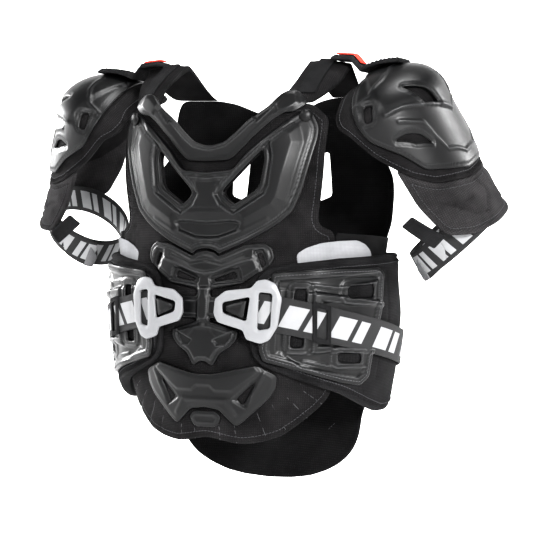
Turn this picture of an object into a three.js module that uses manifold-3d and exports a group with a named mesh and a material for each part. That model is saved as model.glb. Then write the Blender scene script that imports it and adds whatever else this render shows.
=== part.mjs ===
// Roost deflector: a chest and back guard with shoulder cups, worn over a riding shirt.
// Millimetres, +Z up. The front faces -Y and the wearer's left is +X.
// The origin is the seat on the wearer's shoulders, midway between the two shoulder yokes.

import * as THREE from 'three';
import { mergeVertices } from 'three/addons/utils/BufferGeometryUtils.js';
import Module from 'manifold-3d';

const wasm = await Module();
wasm.setup();

// The wearer's torso, which the inside of the guard follows.
const CHEST_WIDTH = 336;
const FRONT_DEPTH = 120;
const BACK_DEPTH = 106;
const TORSO_LENGTH = 518;

// Clearance between flat pieces, between curved sheets laid on each other, and along seams.
const SEAT_GAP = 0.3;
const LAY_GAP = 1.15;
const SEAM_GAP = 0.8;

// Fabric body of the guard.
const VEST_WALL = 6;
const VEST_NECK_DROP = 100;
const VEST_HALF_WIDTH = 138;
const FRONT_LENGTH = 448;
const ARMHOLE_BOTTOM = 197;
const SIDE_SEAM_REACH = 150;
const BACK_SEAM_REACH = 168;
const SIDE_SEAM_BOTTOM = 388;
const SIDE_SEAM_STEP = 10;
const BACK_HALF_WIDTH = 181;
const BACK_NECK_DROP = 56;
const TAIL_HALF_WIDTH = 128;
const TAIL_STEP = 8;

// Shoulder yokes: padded straps that arch over each shoulder.
const YOKE_WALL = 9;
const YOKE_INNER = 80;
const YOKE_OUTER = 138;
const YOKE_FRONT_DROP = 46;
const YOKE_BACK_DROP = 30;
const YOKE_FRONT_FOOT = 13;
const YOKE_BACK_FOOT = 20;
const SHOULDER_HALF_SPAN = 105;
const SHOULDER_SLOPE = 0.08;
const WEBBING_WIDTH = 20;
const WEBBING_WALL = 2;
const RED_TAB_WIDTH = 18;
const RED_TAB_WALL = 2.5;
const RED_TAB_END = 160;
const LINK_WIDTH = 44;
const LINK_WALL = 4;
const LINK_OVERLAP = 24;

// Hard front plates.
const PLATE_WALL = 3;
const COLLAR_WALL = 4.5;
const COLLAR_TOP = 31;
const COLLAR_HEIGHT = 83;
const CHEST_HALF_WIDTH = 127;
const COLLAR_SIDE_STEP = 15;
const COLLAR_HALF_WIDTH = CHEST_HALF_WIDTH - COLLAR_SIDE_STEP;
const CHEST_TOP = 52;
const CHEST_HEIGHT = 171;
const CHEST_DOME = 3;
const RIVET_RADIUS = 7.5;
const RIVET_HEIGHT = 3;
const RIVET_INSET = 16;
const RIVET_DROP = 9;
const ABDOMEN_HALF_WIDTH = 81;
const ABDOMEN_HEIGHT = 138;
const ABDOMEN_DOME = 1.2;
const PLATE_GAP = 2.5;
const BELLY_HALF_WIDTH = 85;
const BELLY_HEIGHT = 69;
const BELLY_DROP = 3;
const HEX_WIDTH = 39;
const HEX_HEIGHT = 19;

// Kidney belt: padded wings, moulded plates, straps and hook buckles.
const WING_START = 55;
const WING_REACH = 340;
const WING_TOP = 224;
const WING_HEIGHT = 192;
const WING_FRONT_WALL = 5.4;
const WING_WALL = 10.4;
const WING_STANDOFF = 3;
const WING_RAMP_START = 95;
const WING_RAMP_END = 130;
const BELT_PLATE_START = 65;
const BELT_PLATE_REACH = 207;
const BELT_PLATE_TOP = 239;
const BELT_PLATE_HEIGHT = 140;
const BELT_PLATE_WALL = 3.5;
const STRAP_WIDTH = 43;
const STRAP_WALL = 1.5;
const STRAP_DROP = 288;
const STRAP_START = 59;
const STRAP_END = 300;
const STRAP_FALL = 68;
const KEEPER_LENGTH = 19;
const KEEPER_WALL = 2;
const KEEPER_START = 121;
const BUCKLE_INNER = 18;
const BUCKLE_OUTER = 90;
const BUCKLE_TOP = 251;
const BUCKLE_HEIGHT = 75;
const BUCKLE_WALL = 3.8;
const TONGUE_CLEARANCE = 3;
const INSET_WALL = 1.2;
const INSET_START = 105;
const INSET_LENGTH = 98;
const INSET_RISE = 17;

// Upper arm, which each shoulder cup and its strap go round.
const ARM_X = 180.7;
const ARM_Y = -5.8;
const ARM_Z = -55.9;
const ARM_LEAN_OUT = 0.437;
const ARM_LEAN_BACK = 0.36;
const ARM_RADIUS = 71.5;
const ARM_DEPTH_RADIUS = 79.4;
const SHOULDER_DOME = 42;
const CUP_REACH = 196;
const CUP_WALL = 3.7;
const CUP_PAD_WALL = 9;
const CUP_PAD_RIM = 9;
const FLAP_LENGTH = 171;
const FLAP_HALF_ANGLE = 76;
const FLAP_WALL = 7;
const FLAP_FLARE = 7;
const ARM_STRAP_WIDTH = 37;
const ARM_STRAP_WALL = 2;
const ARM_STRAP_DROP = 165;
const ARM_STRAP_TILT = 14;
const ARM_STRAP_SHIFT = 18;
const TAIL_END_WALL = 1.6;
const SLIDER_WALL = 3;

// How far the flat sheets are divided before they are bent.
const TORSO_EDGE = 19.5;
const DETAIL_EDGE = 18;
const CUP_EDGE = 25;
const TORSO_GRAIN = [1, 0.36];
const YOKE_GRAIN = [0.5, 1];
const CUP_GRAIN = [1, 1];

const RIGHT = 1;
const LEFT = -1;
const SIDES = [
  { side: LEFT, label: 'left' },
  { side: RIGHT, label: 'right' },
];

// Heights of the layers above the torso, from the inside out.
const LAYER = {};
LAYER.vest = VEST_WALL;
LAYER.plate = LAYER.vest + LAY_GAP;
LAYER.plateRim = LAYER.plate + PLATE_WALL;
LAYER.collar = YOKE_WALL + SEAT_GAP * 2;
LAYER.wing = LAYER.vest + WING_STANDOFF;

// Horizontal sections of the torso. Shares: drop of TORSO_LENGTH, half of half the CHEST_WIDTH,
// front of FRONT_DEPTH, back and middle of BACK_DEPTH; round and backRound are the exponents of
// the outline's front and back halves.
const TORSO = [
  { drop: -0.08, half: 0.71, front: 0.50, back: 0.57, middle: 0.00, round: 2.3, backRound: 2.3 },
  { drop: 0.057, half: 0.89, front: 0.73, back: 0.79, middle: 0.00, round: 2.3, backRound: 2.4 },
  { drop: 0.114, half: 0.96, front: 0.80, back: 0.87, middle: 0.00, round: 2.3, backRound: 2.6 },
  { drop: 0.228, half: 1.05, front: 0.87, back: 0.92, middle: 0.03, round: 2.25, backRound: 2.9 },
  { drop: 0.342, half: 1.03, front: 0.90, back: 0.94, middle: 0.08, round: 2.15, backRound: 2.8 },
  { drop: 0.456, half: 0.99, front: 0.95, back: 0.96, middle: 0.12, round: 2.1, backRound: 2.3 },
  { drop: 0.570, half: 1.00, front: 1.00, back: 0.97, middle: 0.17, round: 2.0, backRound: 2.2 },
  { drop: 0.684, half: 0.97, front: 1.01, back: 0.95, middle: 0.18, round: 1.95, backRound: 2.05 },
  { drop: 0.798, half: 0.93, front: 0.98, back: 0.88, middle: 0.16, round: 1.9, backRound: 2.0 },
  { drop: 1.000, half: 0.93, front: 0.93, back: 0.53, middle: 0.10, round: 1.9, backRound: 1.9 },
];

function blend(from, to, share) {
  const t = Math.min(1, Math.max(0, share));
  return from + (to - from) * t * t * (3 - 2 * t);
}

// Reads one column of the torso table at a drop, along a smooth curve through its rows.
function column(name, drop) {
  const last = TORSO.length - 1;
  const at = Math.min(TORSO[last].drop, Math.max(TORSO[0].drop, drop));
  let i = 0;
  while (i < last - 1 && TORSO[i + 1].drop < at) i += 1;
  const slope = (k) => {
    const low = Math.max(0, k - 1);
    const high = Math.min(last, k + 1);
    return (TORSO[high][name] - TORSO[low][name]) / (TORSO[high].drop - TORSO[low].drop);
  };
  const step = TORSO[i + 1].drop - TORSO[i].drop;
  const t = (at - TORSO[i].drop) / step;
  const h00 = (1 + 2 * t) * (1 - t) ** 2;
  const h10 = t * (1 - t) ** 2;
  const h01 = t * t * (3 - 2 * t);
  const h11 = t * t * (t - 1);
  return h00 * TORSO[i][name] + h10 * step * slope(i) + h01 * TORSO[i + 1][name] + h11 * step * slope(i + 1);
}

// The torso section at a height: its points from the front centre to the back centre,
// with the length walked so far.
const SECTION_STEPS = 120;
const sections = new Map();
function sectionAt(z) {
  const key = z.toFixed(2);
  if (sections.has(key)) return sections.get(key);
  const drop = -z / TORSO_LENGTH;
  const half = column('half', drop) * CHEST_WIDTH / 2;
  const front = column('front', drop) * FRONT_DEPTH;
  const back = column('back', drop) * BACK_DEPTH;
  const middle = column('middle', drop) * BACK_DEPTH;
  const frontPower = 2 / column('round', drop);
  const backPower = 2 / column('backRound', drop);
  const points = [];
  let walked = 0;
  for (let i = 0; i <= SECTION_STEPS; i += 1) {
    const turn = Math.PI * i / SECTION_STEPS;
    const inFront = turn < Math.PI / 2;
    const power = inFront ? frontPower : backPower;
    const along = Math.abs(Math.cos(turn)) ** power;
    const x = half * Math.abs(Math.sin(turn)) ** power;
    const y = inFront ? middle - (front + middle) * along : middle + (back - middle) * along;
    if (i > 0) walked += Math.hypot(x - points[i - 1].x, y - points[i - 1].y);
    points.push({ x, y, walked });
  }
  const section = { points, length: walked };
  sections.set(key, section);
  return section;
}

function alongSection(section, reach) {
  const { points } = section;
  let low = 0;
  let high = points.length - 1;
  while (high - low > 1) {
    const mid = (low + high) >> 1;
    if (points[mid].walked <= reach) low = mid;
    else high = mid;
  }
  const share = (reach - points[low].walked) / (points[high].walked - points[low].walked);
  return {
    x: points[low].x + (points[high].x - points[low].x) * share,
    y: points[low].y + (points[high].y - points[low].y) * share,
  };
}

// A point of the torso, `reach` round it from the front centre line, at height z and `out` above it.
const NORMAL_STEP = 3;
function onTorso(reach, z, out) {
  const section = sectionAt(z);
  const side = reach < 0 ? -1 : 1;
  const walk = Math.abs(reach);
  const here = alongSection(section, walk);
  const before = alongSection(section, Math.max(0, walk - NORMAL_STEP));
  const after = alongSection(section, Math.min(section.length, walk + NORMAL_STEP));
  const tangent = new THREE.Vector2(after.x - before.x, after.y - before.y);
  if (walk < NORMAL_STEP) tangent.y *= walk / NORMAL_STEP;
  if (section.length - walk < NORMAL_STEP) tangent.y *= (section.length - walk) / NORMAL_STEP;
  tangent.normalize();
  return new THREE.Vector3(side * (here.x + tangent.y * out), here.y - tangent.x * out, z);
}

// The same, measured from the back centre line.
function onBack(reach, z, out) {
  const half = sectionAt(z).length;
  return onTorso(reach < 0 ? -(half + reach) : half - reach, z, out);
}

// The depth of the torso at a distance across, at a height.
function torsoDepth(across, z, end) {
  const drop = -z / TORSO_LENGTH;
  const half = column('half', drop) * CHEST_WIDTH / 2;
  const round = column(end === 'front' ? 'round' : 'backRound', drop);
  const middle = column('middle', drop) * BACK_DEPTH;
  const share = (1 - Math.min(0.999, across / half) ** round) ** (1 / round);
  if (end === 'front') return middle - (column('front', drop) * FRONT_DEPTH + middle) * share;
  return middle + (column('back', drop) * BACK_DEPTH - middle) * share;
}

// A point on the shoulder: `across` from the centre, and `along` the arch from the front foot
// at 0 to the back foot at ARCH_LENGTH.
const ARCH_LENGTH = 210;
const ARCH_SHARPNESS = 1.7;
const ARCH_BACK_SLACK = 2.6;
function onShoulder(side) {
  return (across, along, out) => {
    const share = along / ARCH_LENGTH;
    const front = torsoDepth(across, -YOKE_FRONT_DROP, 'front');
    const back = torsoDepth(across, -YOKE_BACK_DROP, 'back');
    const foot = -YOKE_FRONT_DROP + (YOKE_FRONT_DROP - YOKE_BACK_DROP) * share;
    const top = (SHOULDER_HALF_SPAN - across) * SHOULDER_SLOPE;
    const turn = Math.PI * share;
    const swing = Math.cos(turn);
    const rise = top + (YOKE_FRONT_DROP + YOKE_BACK_DROP) / 2;
    const reach = (back - front) / 2 + out;
    const y = (back + front) / 2 - reach * Math.sign(swing) * Math.abs(swing) ** ARCH_SHARPNESS;
    const z = foot + (rise + out) * Math.sin(turn) ** (share > 0.5 ? ARCH_BACK_SLACK : ARCH_SHARPNESS);
    return new THREE.Vector3(side * across, y, z);
  };
}

// The arm's own directions: down along it, outward across it, and forward across it.
const ARM_DOWN = new THREE.Vector3(ARM_LEAN_OUT, ARM_LEAN_BACK, -1).normalize();
const ARM_OUT = new THREE.Vector3(1, 0, 0).addScaledVector(ARM_DOWN, -ARM_DOWN.x).normalize();
const ARM_FORWARD = new THREE.Vector3().crossVectors(ARM_OUT, ARM_DOWN).normalize();
if (ARM_FORWARD.y > 0) ARM_FORWARD.negate();
const DOME_ARC = (ARM_DEPTH_RADIUS + SHOULDER_DOME) / 2;
const POLE_REACH = DOME_ARC * Math.PI / 2;

// A point on the arm: `turn` round it in radians from the outer side towards the back,
// and `down` along it from the shoulder joint; above the joint it closes in a dome.
function onArm(side, turn, down, out) {
  const dome = Math.max(0, -down) / DOME_ARC;
  const along = down >= 0 ? down : -(SHOULDER_DOME + out) * Math.sin(dome);
  const spread = Math.cos(dome);
  const point = new THREE.Vector3(ARM_X, ARM_Y, ARM_Z)
    .addScaledVector(ARM_DOWN, along)
    .addScaledVector(ARM_OUT, Math.cos(turn) * (ARM_RADIUS + out) * spread)
    .addScaledVector(ARM_FORWARD, -Math.sin(turn) * (ARM_DEPTH_RADIUS + out) * spread);
  point.x *= side;
  return point;
}

// Flat coordinates over the cup, measured from the top of the shoulder outward and backward.
const overCup = (side) => (outward, backward, out) => (
  onArm(side, Math.atan2(backward, outward), Math.hypot(outward, backward) - POLE_REACH, out));
// Flat coordinates round the arm, measured along its girth and down it.
const roundArm = (side) => (girth, down, out) => (
  onArm(side, girth / ARM_RADIUS, down, out + FLAP_FLARE * Math.max(0, down / FLAP_LENGTH) ** 2));
const girthOf = (degrees) => THREE.MathUtils.degToRad(degrees) * ARM_RADIUS;

// Splits the sheet's longest edges until none is longer than `longest`.
function refine(points, faces, longest) {
  const lengthOf = ([a, b]) => Math.hypot(points[a][0] - points[b][0], points[a][1] - points[b][1]);
  for (;;) {
    const owners = edgeOwners(faces);
    const long = [...owners.values()].filter((edge) => lengthOf(edge.ends) > longest);
    if (long.length === 0) return;
    long.sort((first, second) => lengthOf(second.ends) - lengthOf(first.ends));
    const touched = new Set();
    for (const { ends: [a, b], faces: sharing } of long) {
      if (sharing.some((index) => touched.has(index))) continue;
      const middle = points.length;
      points.push([(points[a][0] + points[b][0]) / 2, (points[a][1] + points[b][1]) / 2]);
      for (const index of sharing) {
        const face = faces[index];
        const [from, to] = face[(face.indexOf(a) + 1) % 3] === b ? [a, b] : [b, a];
        const apex = face.find((corner) => corner !== a && corner !== b);
        touched.add(index).add(faces.length);
        faces[index] = [from, middle, apex];
        faces.push([middle, to, apex]);
      }
    }
    relax(points, faces);
  }
}

const edgeKey = (a, b) => (a < b ? `${a} ${b}` : `${b} ${a}`);
function edgeOwners(faces) {
  const owners = new Map();
  faces.forEach((face, index) => {
    for (let k = 0; k < 3; k += 1) {
      const ends = [face[k], face[(k + 1) % 3]].sort((first, second) => first - second);
      const key = edgeKey(...ends);
      if (!owners.has(key)) owners.set(key, { ends, faces: [] });
      owners.get(key).faces.push(index);
    }
  });
  return owners;
}

// Swaps the shared edge of two triangles wherever that makes them less narrow.
function relax(points, faces) {
  const angle = (apex, a, b) => {
    const [ax, ay] = [points[a][0] - points[apex][0], points[a][1] - points[apex][1]];
    const [bx, by] = [points[b][0] - points[apex][0], points[b][1] - points[apex][1]];
    return Math.atan2(Math.abs(ax * by - ay * bx), ax * bx + ay * by);
  };
  for (let pass = 0; pass < 6; pass += 1) {
    let swapped = 0;
    const touched = new Set();
    const owners = edgeOwners(faces);
    for (const { ends: [a, b], faces: sharing } of [...owners.values()]) {
      if (sharing.length < 2 || sharing.some((index) => touched.has(index))) continue;
      const [first, second] = sharing;
      const forward = faces[first][(faces[first].indexOf(a) + 1) % 3] === b;
      const left = faces[first].find((corner) => corner !== a && corner !== b);
      const right = faces[second].find((corner) => corner !== a && corner !== b);
      if (angle(left, a, b) + angle(right, a, b) <= Math.PI + 1e-6) continue;
      if (owners.has(edgeKey(left, right))) continue;
      owners.set(edgeKey(left, right), { ends: [left, right], faces: [first, second] });
      faces[first] = forward ? [a, right, left] : [b, right, left];
      faces[second] = forward ? [right, b, left] : [right, a, left];
      touched.add(first).add(second);
      swapped += 1;
    }
    if (swapped === 0) return;
  }
}

// Bends a flat outline with its holes onto a surface, as a closed solid between two heights.
// Grain is how much each flat direction counts in an edge's length: less along a straight direction.
function bentPlate({ outline, holes = [], surface, inner, outer, edge, grain = TORSO_GRAIN }) {
  const shape = new THREE.Shape(outline.map(([u, v]) => new THREE.Vector2(u, v)));
  for (const hole of holes) shape.holes.push(new THREE.Path(hole.map(([u, v]) => new THREE.Vector2(u, v))));
  const flat = new THREE.ShapeGeometry(shape);
  const spots = flat.getAttribute('position');
  const points = [];
  for (let i = 0; i < spots.count; i += 1) points.push([spots.getX(i) * grain[0], spots.getY(i) * grain[1]]);
  const faces = [];
  const corners = flat.getIndex().array;
  for (let i = 0; i < corners.length; i += 3) faces.push([corners[i], corners[i + 1], corners[i + 2]]);
  relax(points, faces);
  refine(points, faces, edge);

  const heightAt = (height, u, v) => (typeof height === 'function' ? height(u, v) : height);
  const positions = [];
  for (const level of [outer, inner]) {
    for (const [x, y] of points) {
      const [u, v] = [x / grain[0], y / grain[1]];
      positions.push(...surface(u, v, heightAt(level, u, v)).toArray());
    }
  }
  const below = points.length;
  const index = [];
  for (const [a, b, c] of faces) index.push(a, b, c, a + below, c + below, b + below);
  for (const { ends: [a, b], faces: sharing } of edgeOwners(faces).values()) {
    if (sharing.length > 1) continue;
    const face = faces[sharing[0]];
    const [from, to] = face[(face.indexOf(a) + 1) % 3] === b ? [a, b] : [b, a];
    index.push(from, from + below, to, to, from + below, to + below);
  }
  return outward(positions, index);
}

// A geometry whose faces point out, whichever way round its surface ran.
function outward(positions, index) {
  const geometry = new THREE.BufferGeometry();
  geometry.setAttribute('position', new THREE.Float32BufferAttribute(positions, 3));
  geometry.setIndex(index);
  const corner = (i) => new THREE.Vector3().fromBufferAttribute(geometry.getAttribute('position'), index[i]);
  let volume = 0;
  for (let i = 0; i < index.length; i += 3) {
    volume += corner(i).dot(new THREE.Vector3().crossVectors(corner(i + 1), corner(i + 2)));
  }
  if (volume < 0) {
    for (let i = 0; i < index.length; i += 3) [index[i], index[i + 1]] = [index[i + 1], index[i]];
    geometry.setIndex(index);
  }
  return geometry;
}

function toSolid(geometry) {
  const bare = geometry.clone();
  bare.deleteAttribute('normal');
  bare.deleteAttribute('uv');
  const merged = mergeVertices(bare, 1e-4);
  return new wasm.Manifold(new wasm.Mesh({
    numProp: 3,
    vertProperties: new Float32Array(merged.getAttribute('position').array),
    triVerts: new Uint32Array(merged.getIndex().array),
  }));
}

function toGeometry(solid) {
  const mesh = solid.getMesh();
  const geometry = new THREE.BufferGeometry();
  geometry.setAttribute('position', new THREE.BufferAttribute(new Float32Array(mesh.vertProperties), 3));
  geometry.setIndex(new THREE.BufferAttribute(new Uint32Array(mesh.triVerts), 1));
  return geometry;
}

// Turns rows of shares into a symmetric outline: `across` of the half width, `down` of the height.
function mirrored(rows, halfWidth, top, height) {
  const right = rows.map(({ across, down }) => [across * halfWidth, -(top + down * height)]);
  const left = right.filter(([x]) => x > 0).map(([x, z]) => [-x, z]).reverse();
  return [...right, ...left];
}

// Turns rows of shares into one closed outline beside the centre.
function placed(rows, start, length, top, height) {
  return rows.map(({ along, down }) => [start + along * length, -(top + down * height)]);
}

const flipped = (outline) => outline.map(([u, v]) => [-u, v]).reverse();
const onSide = (side, outline) => (side === RIGHT ? outline : flipped(outline));

const group = new THREE.Group();
function add(name, geometry, color, roughness, metalness = 0) {
  const material = new THREE.MeshStandardMaterial({ color, roughness, metalness });
  const mesh = new THREE.Mesh(geometry, material);
  mesh.name = name;
  group.add(mesh);
  return mesh;
}

const FABRIC = { color: 0x1b1b1c, roughness: 0.95 };
const LINING = { color: 0x131314, roughness: 0.95 };
const SHELL = { color: 0x2b2c2e, roughness: 0.42 };
const WHITE = { color: 0xe9eaec, roughness: 0.4 };
const RED = { color: 0xd23a2c, roughness: 0.8 };
const STRAP = { color: 0x232325, roughness: 0.9 };

// Collar plate: a V-shaped yoke under the throat, whose arms reach the shoulders.
const COLLAR_ROWS = [
  { across: 0.000, down: 0.771 },
  { across: 0.045, down: 0.771 },
  { across: 0.170, down: 0.723 },
  { across: 0.286, down: 0.590 },
  { across: 0.411, down: 0.422 },
  { across: 0.607, down: 0.229 },
  { across: 0.714, down: 0.060 },
  { across: 0.786, down: 0.000 },
  { across: 0.875, down: 0.000 },
  { across: 0.946, down: 0.072 },
  { across: 1.000, down: 0.193 },
  { across: 0.875, down: 0.313 },
  { across: 0.786, down: 0.313 },
  { across: 0.670, down: 0.422 },
  { across: 0.500, down: 0.639 },
  { across: 0.384, down: 0.807 },
  { across: 0.277, down: 0.952 },
  { across: 0.223, down: 0.988 },
  { across: 0.000, down: 1.000 },
];
const collarOutline = mirrored(COLLAR_ROWS, COLLAR_HALF_WIDTH, COLLAR_TOP, COLLAR_HEIGHT);

// Chest plate: a broad shield with two large vents.
const CHEST_ROWS = [
  { across: 0.000, down: 0.439 },
  { across: 0.252, down: 0.421 },
  { across: 0.299, down: 0.380 },
  { across: 0.386, down: 0.298 },
  { across: 0.528, down: 0.199 },
  { across: 0.693, down: 0.094 },
  { across: 0.795, down: 0.041 },
  { across: 0.890, down: 0.000 },
  { across: 0.929, down: 0.029 },
  { across: 1.000, down: 0.117 },
  { across: 1.000, down: 0.199 },
  { across: 0.953, down: 0.339 },
  { across: 0.882, down: 0.544 },
  { across: 0.795, down: 0.702 },
  { across: 0.677, down: 0.784 },
];
// The chest plate's lower edge, which the abdomen plate follows.
const CHEST_LOWER_ROWS = [
  { across: 0.559, down: 0.842 },
  { across: 0.378, down: 0.918 },
  { across: 0.236, down: 0.965 },
  { across: 0.126, down: 1.000 },
  { across: 0.094, down: 0.974 },
  { across: 0.000, down: 0.959 },
];
const VENT_ROWS = [
  { along: 0.94, down: 0.281 },
  { along: 0.97, down: 0.351 },
  { along: 0.91, down: 0.515 },
  { along: 0.85, down: 0.556 },
  { along: 0.47, down: 0.661 },
  { along: 0.34, down: 0.620 },
  { along: 0.27, down: 0.579 },
  { along: 0.34, down: 0.538 },
];
const VENT_REACH = 70;
const chestOutline = mirrored(
  [...CHEST_ROWS, ...CHEST_LOWER_ROWS], CHEST_HALF_WIDTH, CHEST_TOP, CHEST_HEIGHT);
const ventRight = placed(VENT_ROWS, 0, VENT_REACH, CHEST_TOP, CHEST_HEIGHT);
const vents = [ventRight, flipped(ventRight)];

// Front body: padded fabric from the shoulders to the hem, open behind the vents.
const FRONT_ROWS = [
  { across: 0.000, down: 0.002 },
  { across: 0.137, down: -0.010 },
  { across: 0.333, down: -0.083 },
  { across: 0.478, down: -0.129 },
];
const FRONT_SHOULDER_ROWS = [
  { across: 0.942, down: -0.124 },
  { across: 1.000, down: -0.105 },
  { across: 0.993, down: -0.066 },
  { across: 0.964, down: 0.003 },
  { across: 0.949, down: 0.086 },
  { across: 0.928, down: 0.172 },
  { across: 0.920, down: 0.230 },
  { across: 0.949, down: 0.259 },
];
const HEM_ROWS = [
  { across: 0.993, down: 0.870 },
  { across: 0.812, down: 0.925 },
  { across: 0.638, down: 0.971 },
  { across: 0.464, down: 0.991 },
  { across: 0.290, down: 1.000 },
  { across: 0.145, down: 0.989 },
  { across: 0.000, down: 0.977 },
];
const frontHeight = FRONT_LENGTH - VEST_NECK_DROP;
const frontPoint = ({ across, down }) => [across * VEST_HALF_WIDTH, -(VEST_NECK_DROP + down * frontHeight)];
const yokeFootTop = -(YOKE_FRONT_DROP + SEAM_GAP);
const frontHalf = [
  ...FRONT_ROWS.map(frontPoint),
  [YOKE_INNER + 1, yokeFootTop],
  [SHOULDER_HALF_SPAN + YOKE_FRONT_FOOT, yokeFootTop],
  ...FRONT_SHOULDER_ROWS.map(frontPoint),
  [SIDE_SEAM_REACH, -ARMHOLE_BOTTOM],
  [SIDE_SEAM_REACH, -SIDE_SEAM_BOTTOM],
  ...HEM_ROWS.map(frontPoint),
];
const frontOutline = [...frontHalf, ...frontHalf.filter(([x]) => x > 0).map(([x, z]) => [-x, z]).reverse()];
add('vest_front', bentPlate({
  outline: frontOutline,
  holes: vents,
  surface: onTorso,
  inner: 0,
  outer: LAYER.vest,
  edge: TORSO_EDGE,
}), FABRIC.color, FABRIC.roughness);

// Back body: one padded panel with two tall vents, ending in a rounded tail.
const BACK_ROWS = [
  { across: 0.000, down: 0.000 },
  { across: 0.155, down: -0.009 },
  { across: 0.320, down: -0.038 },
];
const BACK_ARMHOLE_ROWS = [
  { across: 0.707, down: -0.023 },
  { across: 0.718, down: 0.030 },
  { across: 0.773, down: 0.094 },
  { across: 0.884, down: 0.136 },
  { across: 0.972, down: 0.170 },
  { across: 1.000, down: 0.221 },
  { across: 1.000, down: 0.285 },
];
const TAIL_ROWS = [
  { across: 1.220, down: 0.000 },
  { across: 1.080, down: 0.130 },
  { across: 1.010, down: 0.280 },
  { across: 1.000, down: 0.440 },
  { across: 0.960, down: 0.580 },
  { across: 0.880, down: 0.700 },
  { across: 0.770, down: 0.800 },
  { across: 0.630, down: 0.880 },
  { across: 0.450, down: 0.950 },
  { across: 0.250, down: 0.985 },
  { across: 0.000, down: 1.000 },
];
const BACK_VENT_ROWS = [
  { along: 0.00, down: 0.10 },
  { along: 0.89, down: 0.00 },
  { along: 1.00, down: 0.89 },
  { along: 0.30, down: 1.00 },
];
const BACK_VENT_START = 44;
const BACK_VENT_WIDTH = 27;
const BACK_VENT_TOP = 98;
const BACK_VENT_HEIGHT = 64;
const backHeight = TORSO_LENGTH - BACK_NECK_DROP;
const backPoint = ({ across, down }) => [across * BACK_HALF_WIDTH, -(BACK_NECK_DROP + down * backHeight)];
const tailTop = SIDE_SEAM_BOTTOM + TAIL_STEP;
const tailPoint = ({ across, down }) => [
  across * TAIL_HALF_WIDTH, -(tailTop + down * (TORSO_LENGTH - tailTop))];
const backFootTop = -(YOKE_BACK_DROP + SEAM_GAP);
const backHalf = [
  ...BACK_ROWS.map(backPoint),
  [YOKE_INNER, backFootTop],
  [SHOULDER_HALF_SPAN + YOKE_BACK_FOOT, backFootTop],
  ...BACK_ARMHOLE_ROWS.map(backPoint),
  [BACK_SEAM_REACH, -(ARMHOLE_BOTTOM + SIDE_SEAM_STEP)],
  [BACK_SEAM_REACH, -SIDE_SEAM_BOTTOM],
  ...TAIL_ROWS.map(tailPoint),
];
const backOutline = [...backHalf, ...backHalf.filter(([x]) => x > 0).map(([x, z]) => [-x, z]).reverse()];
const backVent = placed(BACK_VENT_ROWS, BACK_VENT_START, BACK_VENT_WIDTH, BACK_VENT_TOP, BACK_VENT_HEIGHT);
add('vest_back', bentPlate({
  outline: backOutline,
  holes: [backVent, flipped(backVent)],
  surface: onBack,
  inner: 0,
  outer: LAYER.vest,
  edge: TORSO_EDGE * 1.1,
}), FABRIC.color, FABRIC.roughness);

// Side gussets: stretch panels that join the front and back bodies under the arms.
for (const { side, label } of SIDES) {
  const shares = [0.02, 0.1, 0.2, 0.3, 0.45, 0.6, 0.8, 1];
  const backTop = ARMHOLE_BOTTOM + SIDE_SEAM_STEP;
  const backEdge = shares.map((share) => -(backTop + (SIDE_SEAM_BOTTOM - backTop) * share))
    .map((z) => [sectionAt(z).length - BACK_SEAM_REACH - SEAM_GAP, z]);
  const outline = [
    [SIDE_SEAM_REACH + SEAM_GAP, -ARMHOLE_BOTTOM],
    [SIDE_SEAM_REACH + SEAM_GAP, -SIDE_SEAM_BOTTOM],
    ...backEdge.reverse(),
  ];
  add(`vest_side_${label}`, bentPlate({
    outline: onSide(side, outline),
    surface: onTorso,
    inner: 1,
    outer: LAYER.vest - 1,
    edge: TORSO_EDGE,
  }), LINING.color, LINING.roughness);
}

// Shoulder yokes, their webbing and the red pull tabs.
const YOKE_ROWS = [
  { across: 0.02, along: 0.00 },
  { across: 0.56, along: 0.00 },
  { across: 0.72, along: 0.10 },
  { across: 0.95, along: 0.25 },
  { across: 1.00, along: 0.50 },
  { across: 0.95, along: 0.75 },
  { across: 0.78, along: 1.00 },
  { across: 0.02, along: 1.00 },
  { across: 0.05, along: 0.75 },
  { across: 0.03, along: 0.50 },
  { across: 0.10, along: 0.25 },
];
const WEBBING_CENTRE = 107;
const WEBBING_SPAN = { from: 0.13, to: 0.88 };
const yokeTop = (across) => onShoulder(RIGHT)(across, ARCH_LENGTH / 2, YOKE_WALL).z;
for (const { side, label } of SIDES) {
  const yokeOutline = YOKE_ROWS.map(({ across, along }) => [
    YOKE_INNER + across * (YOKE_OUTER - YOKE_INNER), along * ARCH_LENGTH]);
  add(`shoulder_yoke_${label}`, bentPlate({
    outline: yokeOutline,
    surface: onShoulder(side),
    inner: 0,
    outer: YOKE_WALL,
    edge: TORSO_EDGE,
    grain: YOKE_GRAIN,
  }), FABRIC.color, FABRIC.roughness);
  const nearEdge = WEBBING_CENTRE - WEBBING_WIDTH / 2;
  const farEdge = WEBBING_CENTRE + WEBBING_WIDTH / 2;
  add(`yoke_webbing_${label}`, bentPlate({
    outline: [
      [nearEdge, WEBBING_SPAN.from * ARCH_LENGTH],
      [farEdge, WEBBING_SPAN.from * ARCH_LENGTH],
      [farEdge, WEBBING_SPAN.to * ARCH_LENGTH],
      [nearEdge, WEBBING_SPAN.to * ARCH_LENGTH],
    ],
    surface: onShoulder(side),
    inner: YOKE_WALL + LAY_GAP,
    outer: YOKE_WALL + LAY_GAP + WEBBING_WALL,
    edge: TORSO_EDGE,
    grain: YOKE_GRAIN,
  }), STRAP.color, STRAP.roughness);
}

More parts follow.
